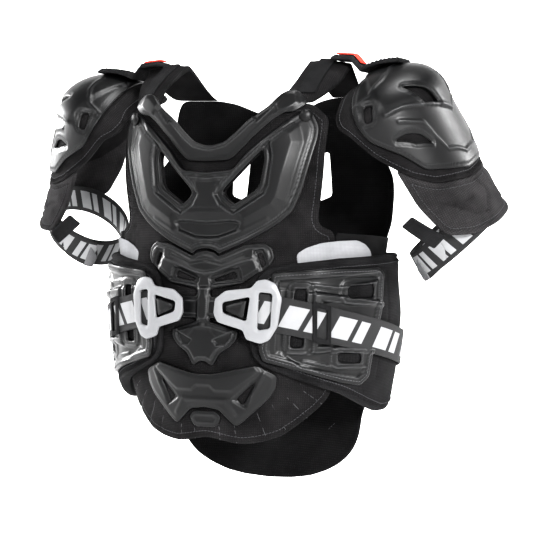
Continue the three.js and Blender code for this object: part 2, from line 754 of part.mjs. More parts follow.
// The highest point of the cup over a strip from front to back, at a distance across.
const SHELL_INNER = CUP_PAD_RIM * 0.2 + LAY_GAP * 1.2;
function cupTop(across, from, to) {
  let top = -Infinity;
  for (let turn = -Math.PI; turn < Math.PI; turn += Math.PI / 40) {
    for (let down = -POLE_REACH; down < 20; down += 3) {
      const point = onArm(RIGHT, turn, down, SHELL_INNER + CUP_WALL);
      const under = point.y > from - 4 && point.y < to + 4;
      if (under && Math.abs(point.x - across) < 6) top = Math.max(top, point.z);
    }
  }
  return top;
}

// Link straps: ribbed webbing from each yoke over the top of the cup, and the red tabs on them.
const LINK_START = WEBBING_CENTRE + WEBBING_WIDTH / 2 + 1;
const LINK_END = ARM_X + LINK_OVERLAP;
const LINK_BACK_SHIFT = -2;
const LINK_STATIONS = 7;
const linkFrom = LINK_BACK_SHIFT - LINK_WIDTH / 2;
const linkTo = LINK_BACK_SHIFT + LINK_WIDTH / 2;
const underside = [];
for (let i = 0; i <= LINK_STATIONS; i += 1) {
  const across = LINK_START + (LINK_END - LINK_START) * i / LINK_STATIONS;
  const overYoke = across < YOKE_OUTER + 6 ? yokeTop(across) + SEAT_GAP * 2 : -Infinity;
  underside.push([across, Math.max(overYoke, cupTop(across, linkFrom, linkTo) - SEAT_GAP * 1.5)]);
}
for (const { side, label } of SIDES) {
  const profile = [
    ...underside,
    ...underside.map(([x, z]) => [x, z + LINK_WALL]).reverse(),
  ];
  const strip = new THREE.ExtrudeGeometry(
    new THREE.Shape(profile.map(([x, z]) => new THREE.Vector2(x, z))),
    { depth: LINK_WIDTH, bevelEnabled: false },
  );
  strip.rotateX(Math.PI / 2);
  strip.translate(0, linkTo, 0);
  const solid = toSolid(strip);
  const own = side === RIGHT ? solid : solid.mirror([1, 0, 0]);
  add(`link_strap_${label}`, toGeometry(own), STRAP.color, STRAP.roughness);
}

// Red pull tabs that lie across each yoke and link strap.
const linkTop = (across) => {
  const step = (LINK_END - LINK_START) / LINK_STATIONS;
  const at = Math.min(LINK_STATIONS - 1, Math.max(0, Math.floor((across - LINK_START) / step)));
  const share = (across - underside[at][0]) / step;
  return underside[at][1] + (underside[at + 1][1] - underside[at][1]) * share + LINK_WALL;
};
for (const { side, label } of SIDES) {
  const between = underside.slice(1).map(([x]) => x).filter((x) => x < RED_TAB_END);
  const stations = [LINK_START + 2, ...between, RED_TAB_END];
  const bottom = stations.map((x) => [x, linkTop(x) + LAY_GAP]);
  const profile = [...bottom, ...bottom.map(([x, z]) => [x, z + RED_TAB_WALL]).reverse()];
  const tab = new THREE.ExtrudeGeometry(
    new THREE.Shape(profile.map(([x, z]) => new THREE.Vector2(x, z))),
    { depth: RED_TAB_WIDTH, bevelEnabled: false },
  );
  tab.rotateX(Math.PI / 2);
  tab.translate(0, LINK_BACK_SHIFT + RED_TAB_WIDTH / 2, 0);
  const solid = toSolid(tab);
  const own = side === RIGHT ? solid : solid.mirror([1, 0, 0]);
  add(`red_tab_${label}`, toGeometry(own), RED.color, RED.roughness);
}

add('collar_plate', bentPlate({
  outline: collarOutline,
  surface: onTorso,
  inner: LAYER.collar,
  outer: LAYER.collar + COLLAR_WALL,
  edge: DETAIL_EDGE,
}), SHELL.color, SHELL.roughness);

const chestDome = (reach) => {
  const share = Math.max(0, 1 - (reach / CHEST_HALF_WIDTH * 1.15) ** 2);
  return LAYER.plateRim + CHEST_DOME * share;
};
add('chest_plate', bentPlate({
  outline: chestOutline,
  holes: vents,
  surface: onTorso,
  inner: LAYER.plate,
  outer: chestDome,
  edge: DETAIL_EDGE,
}), SHELL.color, SHELL.roughness);

// Rivets that pin the collar arms' side of the chest plate.
const rivetReach = CHEST_HALF_WIDTH - RIVET_INSET;
const rivetHeight = -(CHEST_TOP + RIVET_DROP);
for (const { side, label } of SIDES) {
  const seat = onTorso(side * rivetReach, rivetHeight, LAYER.plateRim);
  const above = onTorso(side * rivetReach, rivetHeight, LAYER.plateRim + RIVET_HEIGHT);
  const facing = above.clone().sub(seat).normalize();
  const head = new THREE.LatheGeometry([
    new THREE.Vector2(0, 0),
    new THREE.Vector2(RIVET_RADIUS, 0),
    new THREE.Vector2(RIVET_RADIUS, RIVET_HEIGHT * 0.6),
    new THREE.Vector2(RIVET_RADIUS * 0.8, RIVET_HEIGHT),
    new THREE.Vector2(0, RIVET_HEIGHT),
  ], 14);
  const mesh = add(`rivet_${label}`, toGeometry(toSolid(head)), SHELL.color, SHELL.roughness);
  mesh.quaternion.setFromUnitVectors(new THREE.Vector3(0, 1, 0), facing);
  mesh.position.copy(seat).addScaledVector(facing, LAY_GAP * 1.5);
}

// Abdomen plate: hangs under the chest plate, with a neck that carries the buckle tongues.
const chestBottom = -(CHEST_TOP + CHEST_HEIGHT);
const abdomenUpper = CHEST_LOWER_ROWS.slice(1).map(({ across, down }) => [
  across * CHEST_HALF_WIDTH, -(CHEST_TOP + down * CHEST_HEIGHT) - PLATE_GAP]).reverse();
const ABDOMEN_ROWS = [
  { across: 0.852, down: -0.083 },
  { across: 0.963, down: -0.034 },
  { across: 1.000, down: 0.045 },
  { across: 0.938, down: 0.120 },
  { across: 0.556, down: 0.276 },
  { across: 0.160, down: 0.318 },
  { across: 0.099, down: 0.335 },
];
const TONGUE_ARM_ROWS = [
  { across: 0.111, down: 0.390 },
  { across: 0.617, down: 0.378 },
  { across: 0.642, down: 0.575 },
  { across: 0.111, down: 0.575 },
];
const SHIELD_ROWS = [
  { across: 0.099, down: 0.604 },
  { across: 0.519, down: 0.680 },
  { across: 0.494, down: 0.760 },
  { across: 0.395, down: 0.826 },
  { across: 0.247, down: 0.884 },
  { across: 0.148, down: 1.000 },
  { across: 0.049, down: 0.960 },
  { across: 0.000, down: 0.957 },
];
const abdomenPoint = ({ across, down }) => [
  across * ABDOMEN_HALF_WIDTH, chestBottom + PLATE_GAP - down * (ABDOMEN_HEIGHT - 3)];
const abdomenHalf = [
  ...abdomenUpper,
  ...[...ABDOMEN_ROWS, ...TONGUE_ARM_ROWS, ...SHIELD_ROWS].map(abdomenPoint),
];
const abdomenOther = abdomenHalf.filter(([x]) => x > 0).map(([x, z]) => [-x, z]).reverse();
const abdomenOutline = [...abdomenHalf, ...abdomenOther];
const ABDOMEN_SLOTS = [
  [
    { across: 0.753, down: 0.015 },
    { across: 0.815, down: 0.012 },
    { across: 0.877, down: 0.110 },
    { across: 0.827, down: 0.134 },
  ],
  [
    { across: 0.451, down: 0.170 },
    { across: 0.136, down: 0.240 },
    { across: 0.179, down: 0.258 },
    { across: 0.481, down: 0.225 },
  ],
];
const abdomenSlots = ABDOMEN_SLOTS.map((rows) => rows.map(abdomenPoint));

// Hook buckles: a crossbar with a strap slot, and a D-shaped eye over the abdomen plate's tongue.
const BUCKLE_ROWS = [
  { along: 0.77, down: 0.00 },
  { along: 0.91, down: 0.07 },
  { along: 1.00, down: 0.30 },
  { along: 0.94, down: 0.73 },
  { along: 0.82, down: 0.94 },
  { along: 0.69, down: 1.00 },
  { along: 0.48, down: 0.93 },
  { along: 0.44, down: 0.79 },
  { along: 0.06, down: 0.67 },
  { along: 0.00, down: 0.54 },
  { along: 0.02, down: 0.31 },
  { along: 0.18, down: 0.18 },
  { along: 0.55, down: 0.14 },
  { along: 0.64, down: 0.02 },
];
const BUCKLE_EYE_ROWS = [
  { along: 0.54, down: 0.273 },
  { along: 0.13, down: 0.367 },
  { along: 0.14, down: 0.527 },
  { along: 0.49, down: 0.653 },
];
const BUCKLE_SLOT_ROWS = [
  { along: 0.68, down: 0.22 },
  { along: 0.80, down: 0.22 },
  { along: 0.78, down: 0.775 },
  { along: 0.66, down: 0.775 },
];
const bucklePoints = (rows) => placed(
  rows, BUCKLE_INNER, BUCKLE_OUTER - BUCKLE_INNER, BUCKLE_TOP, BUCKLE_HEIGHT);
const buckleEye = bucklePoints(BUCKLE_EYE_ROWS);
const eyeCentre = buckleEye.reduce(([x, z], [u, v]) => [x + u / 4, z + v / 4], [0, 0]);
const tongueOutline = buckleEye.map(([u, v]) => {
  const [du, dv] = [u - eyeCentre[0], v - eyeCentre[1]];
  return [u - Math.sign(du) * TONGUE_CLEARANCE, v - Math.sign(dv) * TONGUE_CLEARANCE * 0.8];
});

// Layer heights of the belt, which thickens away from the buckles.
const wingTop = (reach) => blend(
  LAYER.wing + WING_FRONT_WALL,
  LAYER.wing + WING_WALL,
  (Math.abs(reach) - WING_RAMP_START) / (WING_RAMP_END - WING_RAMP_START),
);
const beltPlateTop = (reach) => wingTop(reach) + LAY_GAP + BELT_PLATE_WALL;
const strapTop = (reach) => beltPlateTop(reach) + LAY_GAP + STRAP_WALL;
LAYER.buckle = strapTop(0) + LAY_GAP;

const abdomenSheet = toSolid(bentPlate({
  outline: abdomenOutline,
  holes: [...abdomenSlots, ...abdomenSlots.map(flipped)],
  surface: onTorso,
  inner: LAYER.plate,
  outer: (reach) => LAYER.plateRim + ABDOMEN_DOME * Math.max(0, 1 - (reach / ABDOMEN_HALF_WIDTH) ** 2),
  edge: DETAIL_EDGE,
}));
const tongues = [tongueOutline, flipped(tongueOutline)].map((outline) => toSolid(bentPlate({
  outline,
  surface: onTorso,
  inner: LAYER.plate + PLATE_WALL / 2,
  outer: LAYER.buckle + BUCKLE_WALL + 1,
  edge: DETAIL_EDGE,
})));
add('abdomen_plate', toGeometry(abdomenSheet.add(tongues[0]).add(tongues[1])), SHELL.color, SHELL.roughness);

// Belly plate and the hexagonal tab below it.
const BELLY_ROWS = [
  { across: 0.000, down: 0.103 },
  { across: 0.141, down: 0.103 },
  { across: 0.729, down: -0.070 },
  { across: 1.000, down: 0.120 },
  { across: 0.976, down: 0.340 },
  { across: 0.871, down: 0.530 },
  { across: 0.682, down: 0.740 },
  { across: 0.518, down: 0.930 },
  { across: 0.435, down: 1.000 },
  { across: 0.341, down: 0.900 },
  { across: 0.206, down: 0.720 },
  { across: 0.000, down: 0.680 },
];
const BELLY_VENT_ROWS = [
  { across: 0.706, down: 0.230 },
  { across: 0.541, down: 0.630 },
  { across: 0.447, down: 0.530 },
];
const abdomenBottom = chestBottom + PLATE_GAP - (ABDOMEN_HEIGHT - 3);
const bellyTop = abdomenBottom - BELLY_DROP + BELLY_HEIGHT * 0.02;
const bellyPoint = ({ across, down }) => [across * BELLY_HALF_WIDTH, bellyTop - down * BELLY_HEIGHT];
const bellyHalf = BELLY_ROWS.map(bellyPoint);
const bellyVent = BELLY_VENT_ROWS.map(bellyPoint);
add('belly_plate', bentPlate({
  outline: [...bellyHalf, ...bellyHalf.filter(([x]) => x > 0).map(([x, z]) => [-x, z]).reverse()],
  holes: [bellyVent, flipped(bellyVent)],
  surface: onTorso,
  inner: LAYER.plate,
  outer: (reach) => LAYER.plateRim + ABDOMEN_DOME * Math.max(0, 1 - (reach / BELLY_HALF_WIDTH) ** 2),
  edge: DETAIL_EDGE,
}), SHELL.color, SHELL.roughness);

const hexTop = bellyTop - BELLY_HEIGHT * 0.72 - PLATE_GAP;
add('hex_tab', bentPlate({
  outline: [
    [-HEX_WIDTH * 0.34, hexTop],
    [-HEX_WIDTH / 2, hexTop - HEX_HEIGHT * 0.35],
    [-HEX_WIDTH * 0.42, hexTop - HEX_HEIGHT * 0.8],
    [-HEX_WIDTH * 0.28, hexTop - HEX_HEIGHT],
    [HEX_WIDTH * 0.28, hexTop - HEX_HEIGHT],
    [HEX_WIDTH * 0.42, hexTop - HEX_HEIGHT * 0.8],
    [HEX_WIDTH / 2, hexTop - HEX_HEIGHT * 0.35],
    [HEX_WIDTH * 0.34, hexTop],
  ],
  surface: onTorso,
  inner: LAYER.plate,
  outer: LAYER.plateRim,
  edge: DETAIL_EDGE,
}), SHELL.color, SHELL.roughness);

// Belt wings, the plates and straps on them, the white side insets and the buckles.
const WING_ROWS = [
  { along: 0.032, down: 0.120 },
  { along: 0.077, down: 0.073 },
  { along: 0.151, down: 0.052 },
  { along: 0.344, down: 0.021 },
  { along: 0.540, down: 0.010 },
  { along: 0.690, down: 0.000 },
  { along: 0.870, down: 0.010 },
  { along: 0.975, down: 0.045 },
  { along: 1.000, down: 0.130 },
  { along: 1.000, down: 0.400 },
  { along: 0.985, down: 0.640 },
  { along: 0.920, down: 0.780 },
  { along: 0.810, down: 0.890 },
  { along: 0.690, down: 0.975 },
  { along: 0.620, down: 1.000 },
  { along: 0.540, down: 0.995 },
  { along: 0.460, down: 0.943 },
  { along: 0.351, down: 0.854 },
  { along: 0.193, down: 0.766 },
  { along: 0.050, down: 0.677 },
  { along: 0.010, down: 0.615 },
  { along: 0.000, down: 0.540 },
  { along: 0.000, down: 0.340 },
  { along: 0.010, down: 0.200 },
];
const BELT_PLATE_ROWS = [
  { along: 0.10, down: 0.036 },
  { along: 0.31, down: 0.021 },
  { along: 0.61, down: 0.000 },
  { along: 0.93, down: 0.000 },
  { along: 1.00, down: 0.050 },
  { along: 0.99, down: 0.364 },
  { along: 0.91, down: 0.714 },
  { along: 0.87, down: 0.929 },
  { along: 0.78, down: 1.000 },
  { along: 0.62, down: 0.964 },
  { along: 0.31, down: 0.857 },
  { along: 0.03, down: 0.771 },
  { along: 0.00, down: 0.671 },
];
const BELT_PLATE_SLOTS = [
  [
    { along: 0.30, down: 0.200 },
    { along: 0.35, down: 0.200 },
    { along: 0.30, down: 0.620 },
    { along: 0.25, down: 0.620 },
  ],
  [
    { along: 0.72, down: 0.165 },
    { along: 0.88, down: 0.165 },
    { along: 0.88, down: 0.250 },
    { along: 0.72, down: 0.250 },
  ],
  [
    { along: 0.65, down: 0.715 },
    { along: 0.78, down: 0.730 },
    { along: 0.78, down: 0.800 },
    { along: 0.65, down: 0.790 },
  ],
];
const INSET_ROWS = [
  { along: 0.00, down: 0.93 },
  { along: 0.10, down: 0.52 },
  { along: 0.28, down: 0.17 },
  { along: 0.50, down: 0.03 },
  { along: 0.74, down: 0.00 },
  { along: 0.87, down: 0.31 },
  { along: 0.97, down: 0.83 },
  { along: 1.00, down: 1.50 },
  { along: 0.50, down: 1.70 },
  { along: 0.02, down: 1.70 },
];
const wingOutline = placed(WING_ROWS, WING_START, WING_REACH - WING_START, WING_TOP, WING_HEIGHT);
const beltPlatePoints = (rows) => placed(
  rows, BELT_PLATE_START, BELT_PLATE_REACH - BELT_PLATE_START, BELT_PLATE_TOP, BELT_PLATE_HEIGHT);
const insetOutline = placed(INSET_ROWS, INSET_START, INSET_LENGTH, WING_TOP - INSET_RISE, INSET_RISE);
const strapCentre = (reach) => -(STRAP_DROP + STRAP_FALL
  * ((reach - STRAP_START) / (STRAP_END - STRAP_START)) ** 1.25);
function strapBand(from, to, extra) {
  const stations = [0, 0.2, 0.4, 0.6, 0.8, 1].map((share) => from + (to - from) * share);
  const half = STRAP_WIDTH / 2 + extra;
  return [
    ...stations.map((reach) => [reach, strapCentre(reach) - half]),
    ...stations.reverse().map((reach) => [reach, strapCentre(reach) + half]),
  ];
}
for (const { side, label } of SIDES) {
  add(`belt_wing_${label}`, bentPlate({
    outline: onSide(side, wingOutline),
    surface: onTorso,
    inner: LAYER.wing,
    outer: wingTop,
    edge: TORSO_EDGE,
  }), FABRIC.color, FABRIC.roughness);
  add(`belt_plate_${label}`, bentPlate({
    outline: onSide(side, beltPlatePoints(BELT_PLATE_ROWS)),
    holes: BELT_PLATE_SLOTS.map((rows) => onSide(side, beltPlatePoints(rows))),
    surface: onTorso,
    inner: (reach) => wingTop(reach) + LAY_GAP,
    outer: beltPlateTop,
    edge: DETAIL_EDGE * 1.1,
  }), SHELL.color, SHELL.roughness);
  add(`belt_strap_${label}`, bentPlate({
    outline: onSide(side, strapBand(STRAP_START, STRAP_END, 0)),
    surface: onTorso,
    inner: (reach) => beltPlateTop(reach) + LAY_GAP,
    outer: strapTop,
    edge: DETAIL_EDGE * 1.1,
  }), STRAP.color, STRAP.roughness);
  add(`strap_keeper_${label}`, bentPlate({
    outline: onSide(side, strapBand(KEEPER_START, KEEPER_START + KEEPER_LENGTH, 2)),
    surface: onTorso,
    inner: (reach) => strapTop(reach) + LAY_GAP,
    outer: (reach) => strapTop(reach) + LAY_GAP + KEEPER_WALL,
    edge: DETAIL_EDGE * 1.1,
  }), STRAP.color, STRAP.roughness);
  add(`side_inset_${label}`, bentPlate({
    outline: onSide(side, insetOutline),
    surface: onTorso,
    inner: LAYER.vest + LAY_GAP,
    outer: LAYER.vest + LAY_GAP + INSET_WALL,
    edge: TORSO_EDGE,
  }), WHITE.color, WHITE.roughness);
  add(`buckle_${label}`, bentPlate({
    outline: onSide(side, bucklePoints(BUCKLE_ROWS)),
    holes: [buckleEye, bucklePoints(BUCKLE_SLOT_ROWS)].map((hole) => onSide(side, hole)),
    surface: onTorso,
    inner: LAYER.buckle,
    outer: LAYER.buckle + BUCKLE_WALL,
    edge: DETAIL_EDGE,
  }), WHITE.color, WHITE.roughness);
}

// Shoulder cups. Rows give the turn round the arm in degrees from its outer side, and the reach
// from the top of the shoulder as a share of CUP_REACH.
const CUP_ROWS = [
  { turn: -97, reach: 0.17 },
  { turn: -92, reach: 0.33 },
  { turn: -90, reach: 0.47 },
  { turn: -86, reach: 0.55 },
  { turn: -76, reach: 0.63 },
  { turn: -66, reach: 0.71 },
  { turn: -54, reach: 0.85 },
  { turn: -34, reach: 0.92 },
  { turn: -15, reach: 0.98 },
];
const cupHalf = CUP_ROWS.map(({ turn, reach }) => [turn, reach * CUP_REACH]);
const polar = ([turn, reach]) => {
  const angle = THREE.MathUtils.degToRad(turn);
  return [Math.cos(angle) * reach, Math.sin(angle) * reach];
};
const mirrorTurn = (rows) => [...rows, ...rows.map(([turn, reach]) => [-turn, reach]).reverse()];
const cupOutline = mirrorTurn(cupHalf).map(polar);
const CUP_SLOTS = [
  [
    { turn: -79, reach: 0.31 },
    { turn: -83, reach: 0.43 },
    { turn: -76, reach: 0.44 },
    { turn: -70, reach: 0.33 },
  ],
  [
    { turn: -66, reach: 0.61 },
    { turn: -54, reach: 0.61 },
    { turn: -44, reach: 0.65 },
    { turn: -38, reach: 0.73 },
    { turn: -51, reach: 0.68 },
  ],
  [
    { turn: -36, reach: 0.32 },
    { turn: -18, reach: 0.42 },
    { turn: -13, reach: 0.55 },
    { turn: -28, reach: 0.50 },
  ],
];
const slotPoints = (rows) => rows.map(({ turn, reach }) => polar([turn, reach * CUP_REACH]));
const turnedOver = (rows) => rows.map(({ turn, reach }) => ({ turn: -turn, reach }));
const cupSlots = CUP_SLOTS.flatMap((rows) => [rows, turnedOver(rows)]);

// The padded backing shows as a rim all round the shell, and the arm flap hangs from its lower edge.
const PAD_ROWS = [
  { turn: -118, reach: 0.24 },
  { turn: -105, reach: 0.43 },
  { turn: -97, reach: 0.57 },
  { turn: -90, reach: 0.66 },
  { turn: -79, reach: 0.76 },
  { turn: -66, reach: 0.87 },
  { turn: -50, reach: 0.96 },
  { turn: -34, reach: 1.00 },
  { turn: -15, reach: 1.04 },
];
const padHalf = PAD_ROWS.map(({ turn, reach }) => [turn, reach * CUP_REACH]);
const padLower = padHalf.filter(([turn]) => turn > -FLAP_HALF_ANGLE - 4);
const flapSide = [
  [-FLAP_HALF_ANGLE, FLAP_LENGTH * 0.62],
  [-FLAP_HALF_ANGLE * 0.86, FLAP_LENGTH * 0.88],
  [-FLAP_HALF_ANGLE * 0.55, FLAP_LENGTH * 0.97],
  [-FLAP_HALF_ANGLE * 0.2, FLAP_LENGTH],
];
const flapHalf = [
  ...padLower.map(([turn, reach]) => [girthOf(turn), reach - POLE_REACH + SEAM_GAP * 2]).reverse(),
  ...flapSide.map(([turn, down]) => [girthOf(turn), down]),
];
const flapOutline = [...flapHalf, ...flapHalf.map(([girth, down]) => [-girth, down]).reverse()];

// Arm strap: a loop that goes round the arm under the flap, drawn in towards the arm's inner side.
const STRAP_STATIONS = 24;
const flapInner = -CUP_PAD_WALL + 2;
const strapInset = ARM_STRAP_SHIFT - flapInner + SEAT_GAP - FLAP_FLARE * 0.6;
function roundStrap(side) {
  return (turn, edge, out) => {
    const centre = ARM_STRAP_DROP - ARM_STRAP_TILT * Math.cos(turn);
    const point = onArm(side, turn, centre + edge, out - strapInset);
    const shift = ARM_OUT.clone().multiplyScalar(ARM_STRAP_SHIFT);
    shift.x *= side;
    return point.add(shift);
  };
}
function armStrapGeometry(side) {
  const half = ARM_STRAP_WIDTH / 2;
  const corners = [[-half, 0], [half, 0], [half, -ARM_STRAP_WALL], [-half, -ARM_STRAP_WALL]];
  const positions = [];
  const index = [];
  for (let i = 0; i < STRAP_STATIONS; i += 1) {
    const turn = Math.PI * 2 * i / STRAP_STATIONS;
    for (const [edge, out] of corners) positions.push(...roundStrap(side)(turn, edge, out).toArray());
    const next = ((i + 1) % STRAP_STATIONS) * 4;
    for (let k = 0; k < 4; k += 1) {
      const [a, b] = [i * 4 + k, i * 4 + (k + 1) % 4];
      const [c, d] = [next + k, next + (k + 1) % 4];
      index.push(a, b, c, b, d, c);
    }
  }
  return outward(positions, index);
}
const SLIDER_ROWS = [
  { turn: -97, down: 118 },
  { turn: -84, down: 112 },
  { turn: -66, down: 150 },
  { turn: -79, down: 157 },
];
const LOOSE_END_ROWS = [
  { turn: -86, edge: -1.05 },
  { turn: -84, edge: 0.10 },
  { turn: -90, edge: 0.92 },
  { turn: -122, edge: 1.12 },
  { turn: -136, edge: 0.20 },
  { turn: -132, edge: -0.90 },
];
for (const { side, label } of SIDES) {
  add(`shoulder_shell_${label}`, bentPlate({
    outline: cupOutline,
    holes: cupSlots.map(slotPoints),
    surface: overCup(side),
    inner: SHELL_INNER,
    outer: SHELL_INNER + CUP_WALL,
    edge: CUP_EDGE,
    grain: CUP_GRAIN,
  }), SHELL.color, SHELL.roughness);
  add(`shoulder_pad_${label}`, bentPlate({
    outline: mirrorTurn(padHalf).map(polar),
    surface: overCup(side),
    inner: CUP_PAD_RIM * 0.2 - CUP_PAD_WALL,
    outer: CUP_PAD_RIM * 0.2,
    edge: CUP_EDGE * 1.3,
    grain: CUP_GRAIN,
  }), FABRIC.color, FABRIC.roughness);
  add(`bicep_flap_${label}`, bentPlate({
    outline: flapOutline,
    surface: roundArm(side),
    inner: flapInner,
    outer: flapInner + FLAP_WALL,
    edge: CUP_EDGE,
  }), FABRIC.color, FABRIC.roughness);
  add(`arm_strap_${label}`, armStrapGeometry(side), STRAP.color, STRAP.roughness);
  add(`arm_strap_end_${label}`, bentPlate({
    outline: LOOSE_END_ROWS.map(({ turn, edge }) => [girthOf(turn), edge * ARM_STRAP_WIDTH / 2]),
    surface: (girth, edge, out) => roundStrap(side)(girth / ARM_RADIUS, edge, out),
    inner: LAY_GAP,
    outer: LAY_GAP + TAIL_END_WALL,
    edge: CUP_EDGE,
  }), STRAP.color, STRAP.roughness);
  add(`arm_strap_slider_${label}`, bentPlate({
    outline: SLIDER_ROWS.map(({ turn, down }) => [girthOf(turn), down]),
    surface: roundArm(side),
    inner: flapInner + FLAP_WALL + SEAT_GAP,
    outer: flapInner + FLAP_WALL + SEAT_GAP + SLIDER_WALL,
    edge: CUP_EDGE,
  }), STRAP.color, STRAP.roughness);
}

export default group;
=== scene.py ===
import bpy
import numpy as np
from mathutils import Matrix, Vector
from mathutils.geometry import delaunay_2d_cdt


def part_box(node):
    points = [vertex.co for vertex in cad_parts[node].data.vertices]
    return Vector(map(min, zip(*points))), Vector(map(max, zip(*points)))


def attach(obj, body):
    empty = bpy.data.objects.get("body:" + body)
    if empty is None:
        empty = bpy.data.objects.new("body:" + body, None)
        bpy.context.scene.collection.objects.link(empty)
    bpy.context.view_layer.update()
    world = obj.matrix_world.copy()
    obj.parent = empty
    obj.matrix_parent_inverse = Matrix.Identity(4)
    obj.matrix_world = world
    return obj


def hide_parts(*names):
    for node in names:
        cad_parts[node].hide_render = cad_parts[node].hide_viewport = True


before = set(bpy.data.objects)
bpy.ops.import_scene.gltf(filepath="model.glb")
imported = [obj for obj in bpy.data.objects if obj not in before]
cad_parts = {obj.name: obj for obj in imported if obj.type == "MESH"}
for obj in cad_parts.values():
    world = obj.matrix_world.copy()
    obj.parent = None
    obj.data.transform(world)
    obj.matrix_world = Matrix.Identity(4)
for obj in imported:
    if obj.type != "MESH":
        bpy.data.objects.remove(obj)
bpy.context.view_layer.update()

# Front body: padded spacer mesh cut to the chest and belly, bound at its edge and quilted along
# the hem. Its outline is given in millimetres round the body from the centre line, and height.
MM = 0.001
BODY_WALL = 6.0
TORSO_LENGTH = 518.0
CHEST_HALF_WIDTH = 168.0
FRONT_DEPTH, BACK_DEPTH = 120.0, 106.0
TORSO_ROWS = np.array([
    # drop, half, front, back, middle, front exponent, back exponent
    (-0.080, 0.71, 0.50, 0.57, 0.00, 2.30, 2.30),
    (0.057, 0.89, 0.73, 0.79, 0.00, 2.30, 2.40),
    (0.114, 0.96, 0.80, 0.87, 0.00, 2.30, 2.60),
    (0.228, 1.05, 0.87, 0.92, 0.03, 2.25, 2.90),
    (0.342, 1.03, 0.90, 0.94, 0.08, 2.15, 2.80),
    (0.456, 0.99, 0.95, 0.96, 0.12, 2.10, 2.30),
    (0.570, 1.00, 1.00, 0.97, 0.17, 2.00, 2.20),
    (0.684, 0.97, 1.01, 0.95, 0.18, 1.95, 2.05),
    (0.798, 0.93, 0.98, 0.88, 0.16, 1.90, 2.00),
    (1.000, 0.93, 0.93, 0.53, 0.10, 1.90, 1.90),
])


def torso_column(index, drop):
    """One column of the torso rows at a drop, along a smooth curve through the rows."""
    drops, values = TORSO_ROWS[:, 0], TORSO_ROWS[:, index]
    at = min(drops[-1], max(drops[0], drop))
    i = int(np.clip(np.searchsorted(drops, at) - 1, 0, len(drops) - 2))
    slopes = [
        (values[min(k + 1, len(drops) - 1)] - values[max(k - 1, 0)])
        / (drops[min(k + 1, len(drops) - 1)] - drops[max(k - 1, 0)])
        for k in (i, i + 1)
    ]
    width = drops[i + 1] - drops[i]
    t = (at - drops[i]) / width
    return (
        (1 + 2 * t) * (1 - t) ** 2 * values[i]
        + t * (1 - t) ** 2 * width * slopes[0]
        + t * t * (3 - 2 * t) * values[i + 1]
        + t * t * (t - 1) * width * slopes[1]
    )


def torso_section(z):
    """Points of the wearer's section at a height, from the front centre to the back centre."""
    drop = -z / TORSO_LENGTH
    half = torso_column(1, drop) * CHEST_HALF_WIDTH
    front, back = torso_column(2, drop) * FRONT_DEPTH, torso_column(3, drop) * BACK_DEPTH
    middle = torso_column(4, drop) * BACK_DEPTH
    turn = np.linspace(0, np.pi, 241)
    ahead = turn < np.pi / 2
    power = np.where(ahead, 2 / torso_column(5, drop), 2 / torso_column(6, drop))
    along = np.abs(np.cos(turn)) ** power
    x = half * np.abs(np.sin(turn)) ** power
    y = np.where(ahead, middle - (front + middle) * along, middle + (back - middle) * along)
    walked = np.concatenate([[0], np.cumsum(np.hypot(np.diff(x), np.diff(y)))])
    return x, y, walked


LEVEL_STEP, REACH_STEP = 4.0, 2.0
LEVELS = np.arange(-532.0, 49.0, LEVEL_STEP)
REACHES = np.arange(0.0, 480.0, REACH_STEP)
torso_table = []
torso_lengths = []
for level in LEVELS:
    xs, ys, walked = torso_section(level)
    px, py = np.interp(REACHES, walked, xs), np.interp(REACHES, walked, ys)
    tx = np.interp(REACHES, walked, np.gradient(xs, walked))
    ty = np.interp(REACHES, walked, np.gradient(ys, walked))
    size = np.maximum(np.hypot(tx, ty), 1e-6)
    torso_table.append(np.stack([px, py, ty / size, -tx / size], 1))
    torso_lengths.append(walked[-1])
torso_table = np.array(torso_table)


def on_torso(reach, z, out):
    """Points of the torso: reach round it from the front centre line, z up, out above the skin."""
    reach, z = np.asarray(reach, float), np.asarray(z, float)
    row = np.clip((z - LEVELS[0]) / LEVEL_STEP, 0, len(LEVELS) - 1.001)
    col = np.clip(np.abs(reach) / REACH_STEP, 0, len(REACHES) - 1.001)
    r, c = row.astype(int), col.astype(int)
    fr, fc = (row - r)[:, None], (col - c)[:, None]
    low = torso_table[r, c] * (1 - fc) + torso_table[r, c + 1] * fc
    high = torso_table[r + 1, c] * (1 - fc) + torso_table[r + 1, c + 1] * fc
    spot = low * (1 - fr) + high * fr
    normal = spot[:, 2:4] / np.maximum(np.linalg.norm(spot[:, 2:4], axis=1, keepdims=True), 1e-6)
    side = np.where(reach < 0, -1.0, 1.0)
    return np.stack([side * (spot[:, 0] + normal[:, 0] * out), spot[:, 1] + normal[:, 1] * out, z], 1)


def on_back(reach, z, out):
    """The same, with reach measured from the back centre line."""
    half = np.interp(z, LEVELS, torso_lengths)
    return on_torso(np.where(np.asarray(reach) < 0, -1.0, 1.0) * (half - np.abs(reach)), z, out)


def smooth(x):
    """An even ramp from 0 to 1 without corners."""
    x = np.clip(x, 0, 1)
    return x * x * (3 - 2 * x)


def path_distance(points, path, closed=False):
    """Distance of each flat point to a line of points."""
    path = np.asarray(path, float)
    ends = np.roll(path, -1, axis=0) if closed else path[1:]
    starts = path if closed else path[:-1]
    best = np.full(len(points), 1e9)
    for a, b in zip(starts, ends):
        ab = b - a
        t = np.clip(((points - a) @ ab) / max(ab @ ab, 1e-9), 0, 1)
        best = np.minimum(best, np.linalg.norm(points - a - t[:, None] * ab, axis=1))
    return best


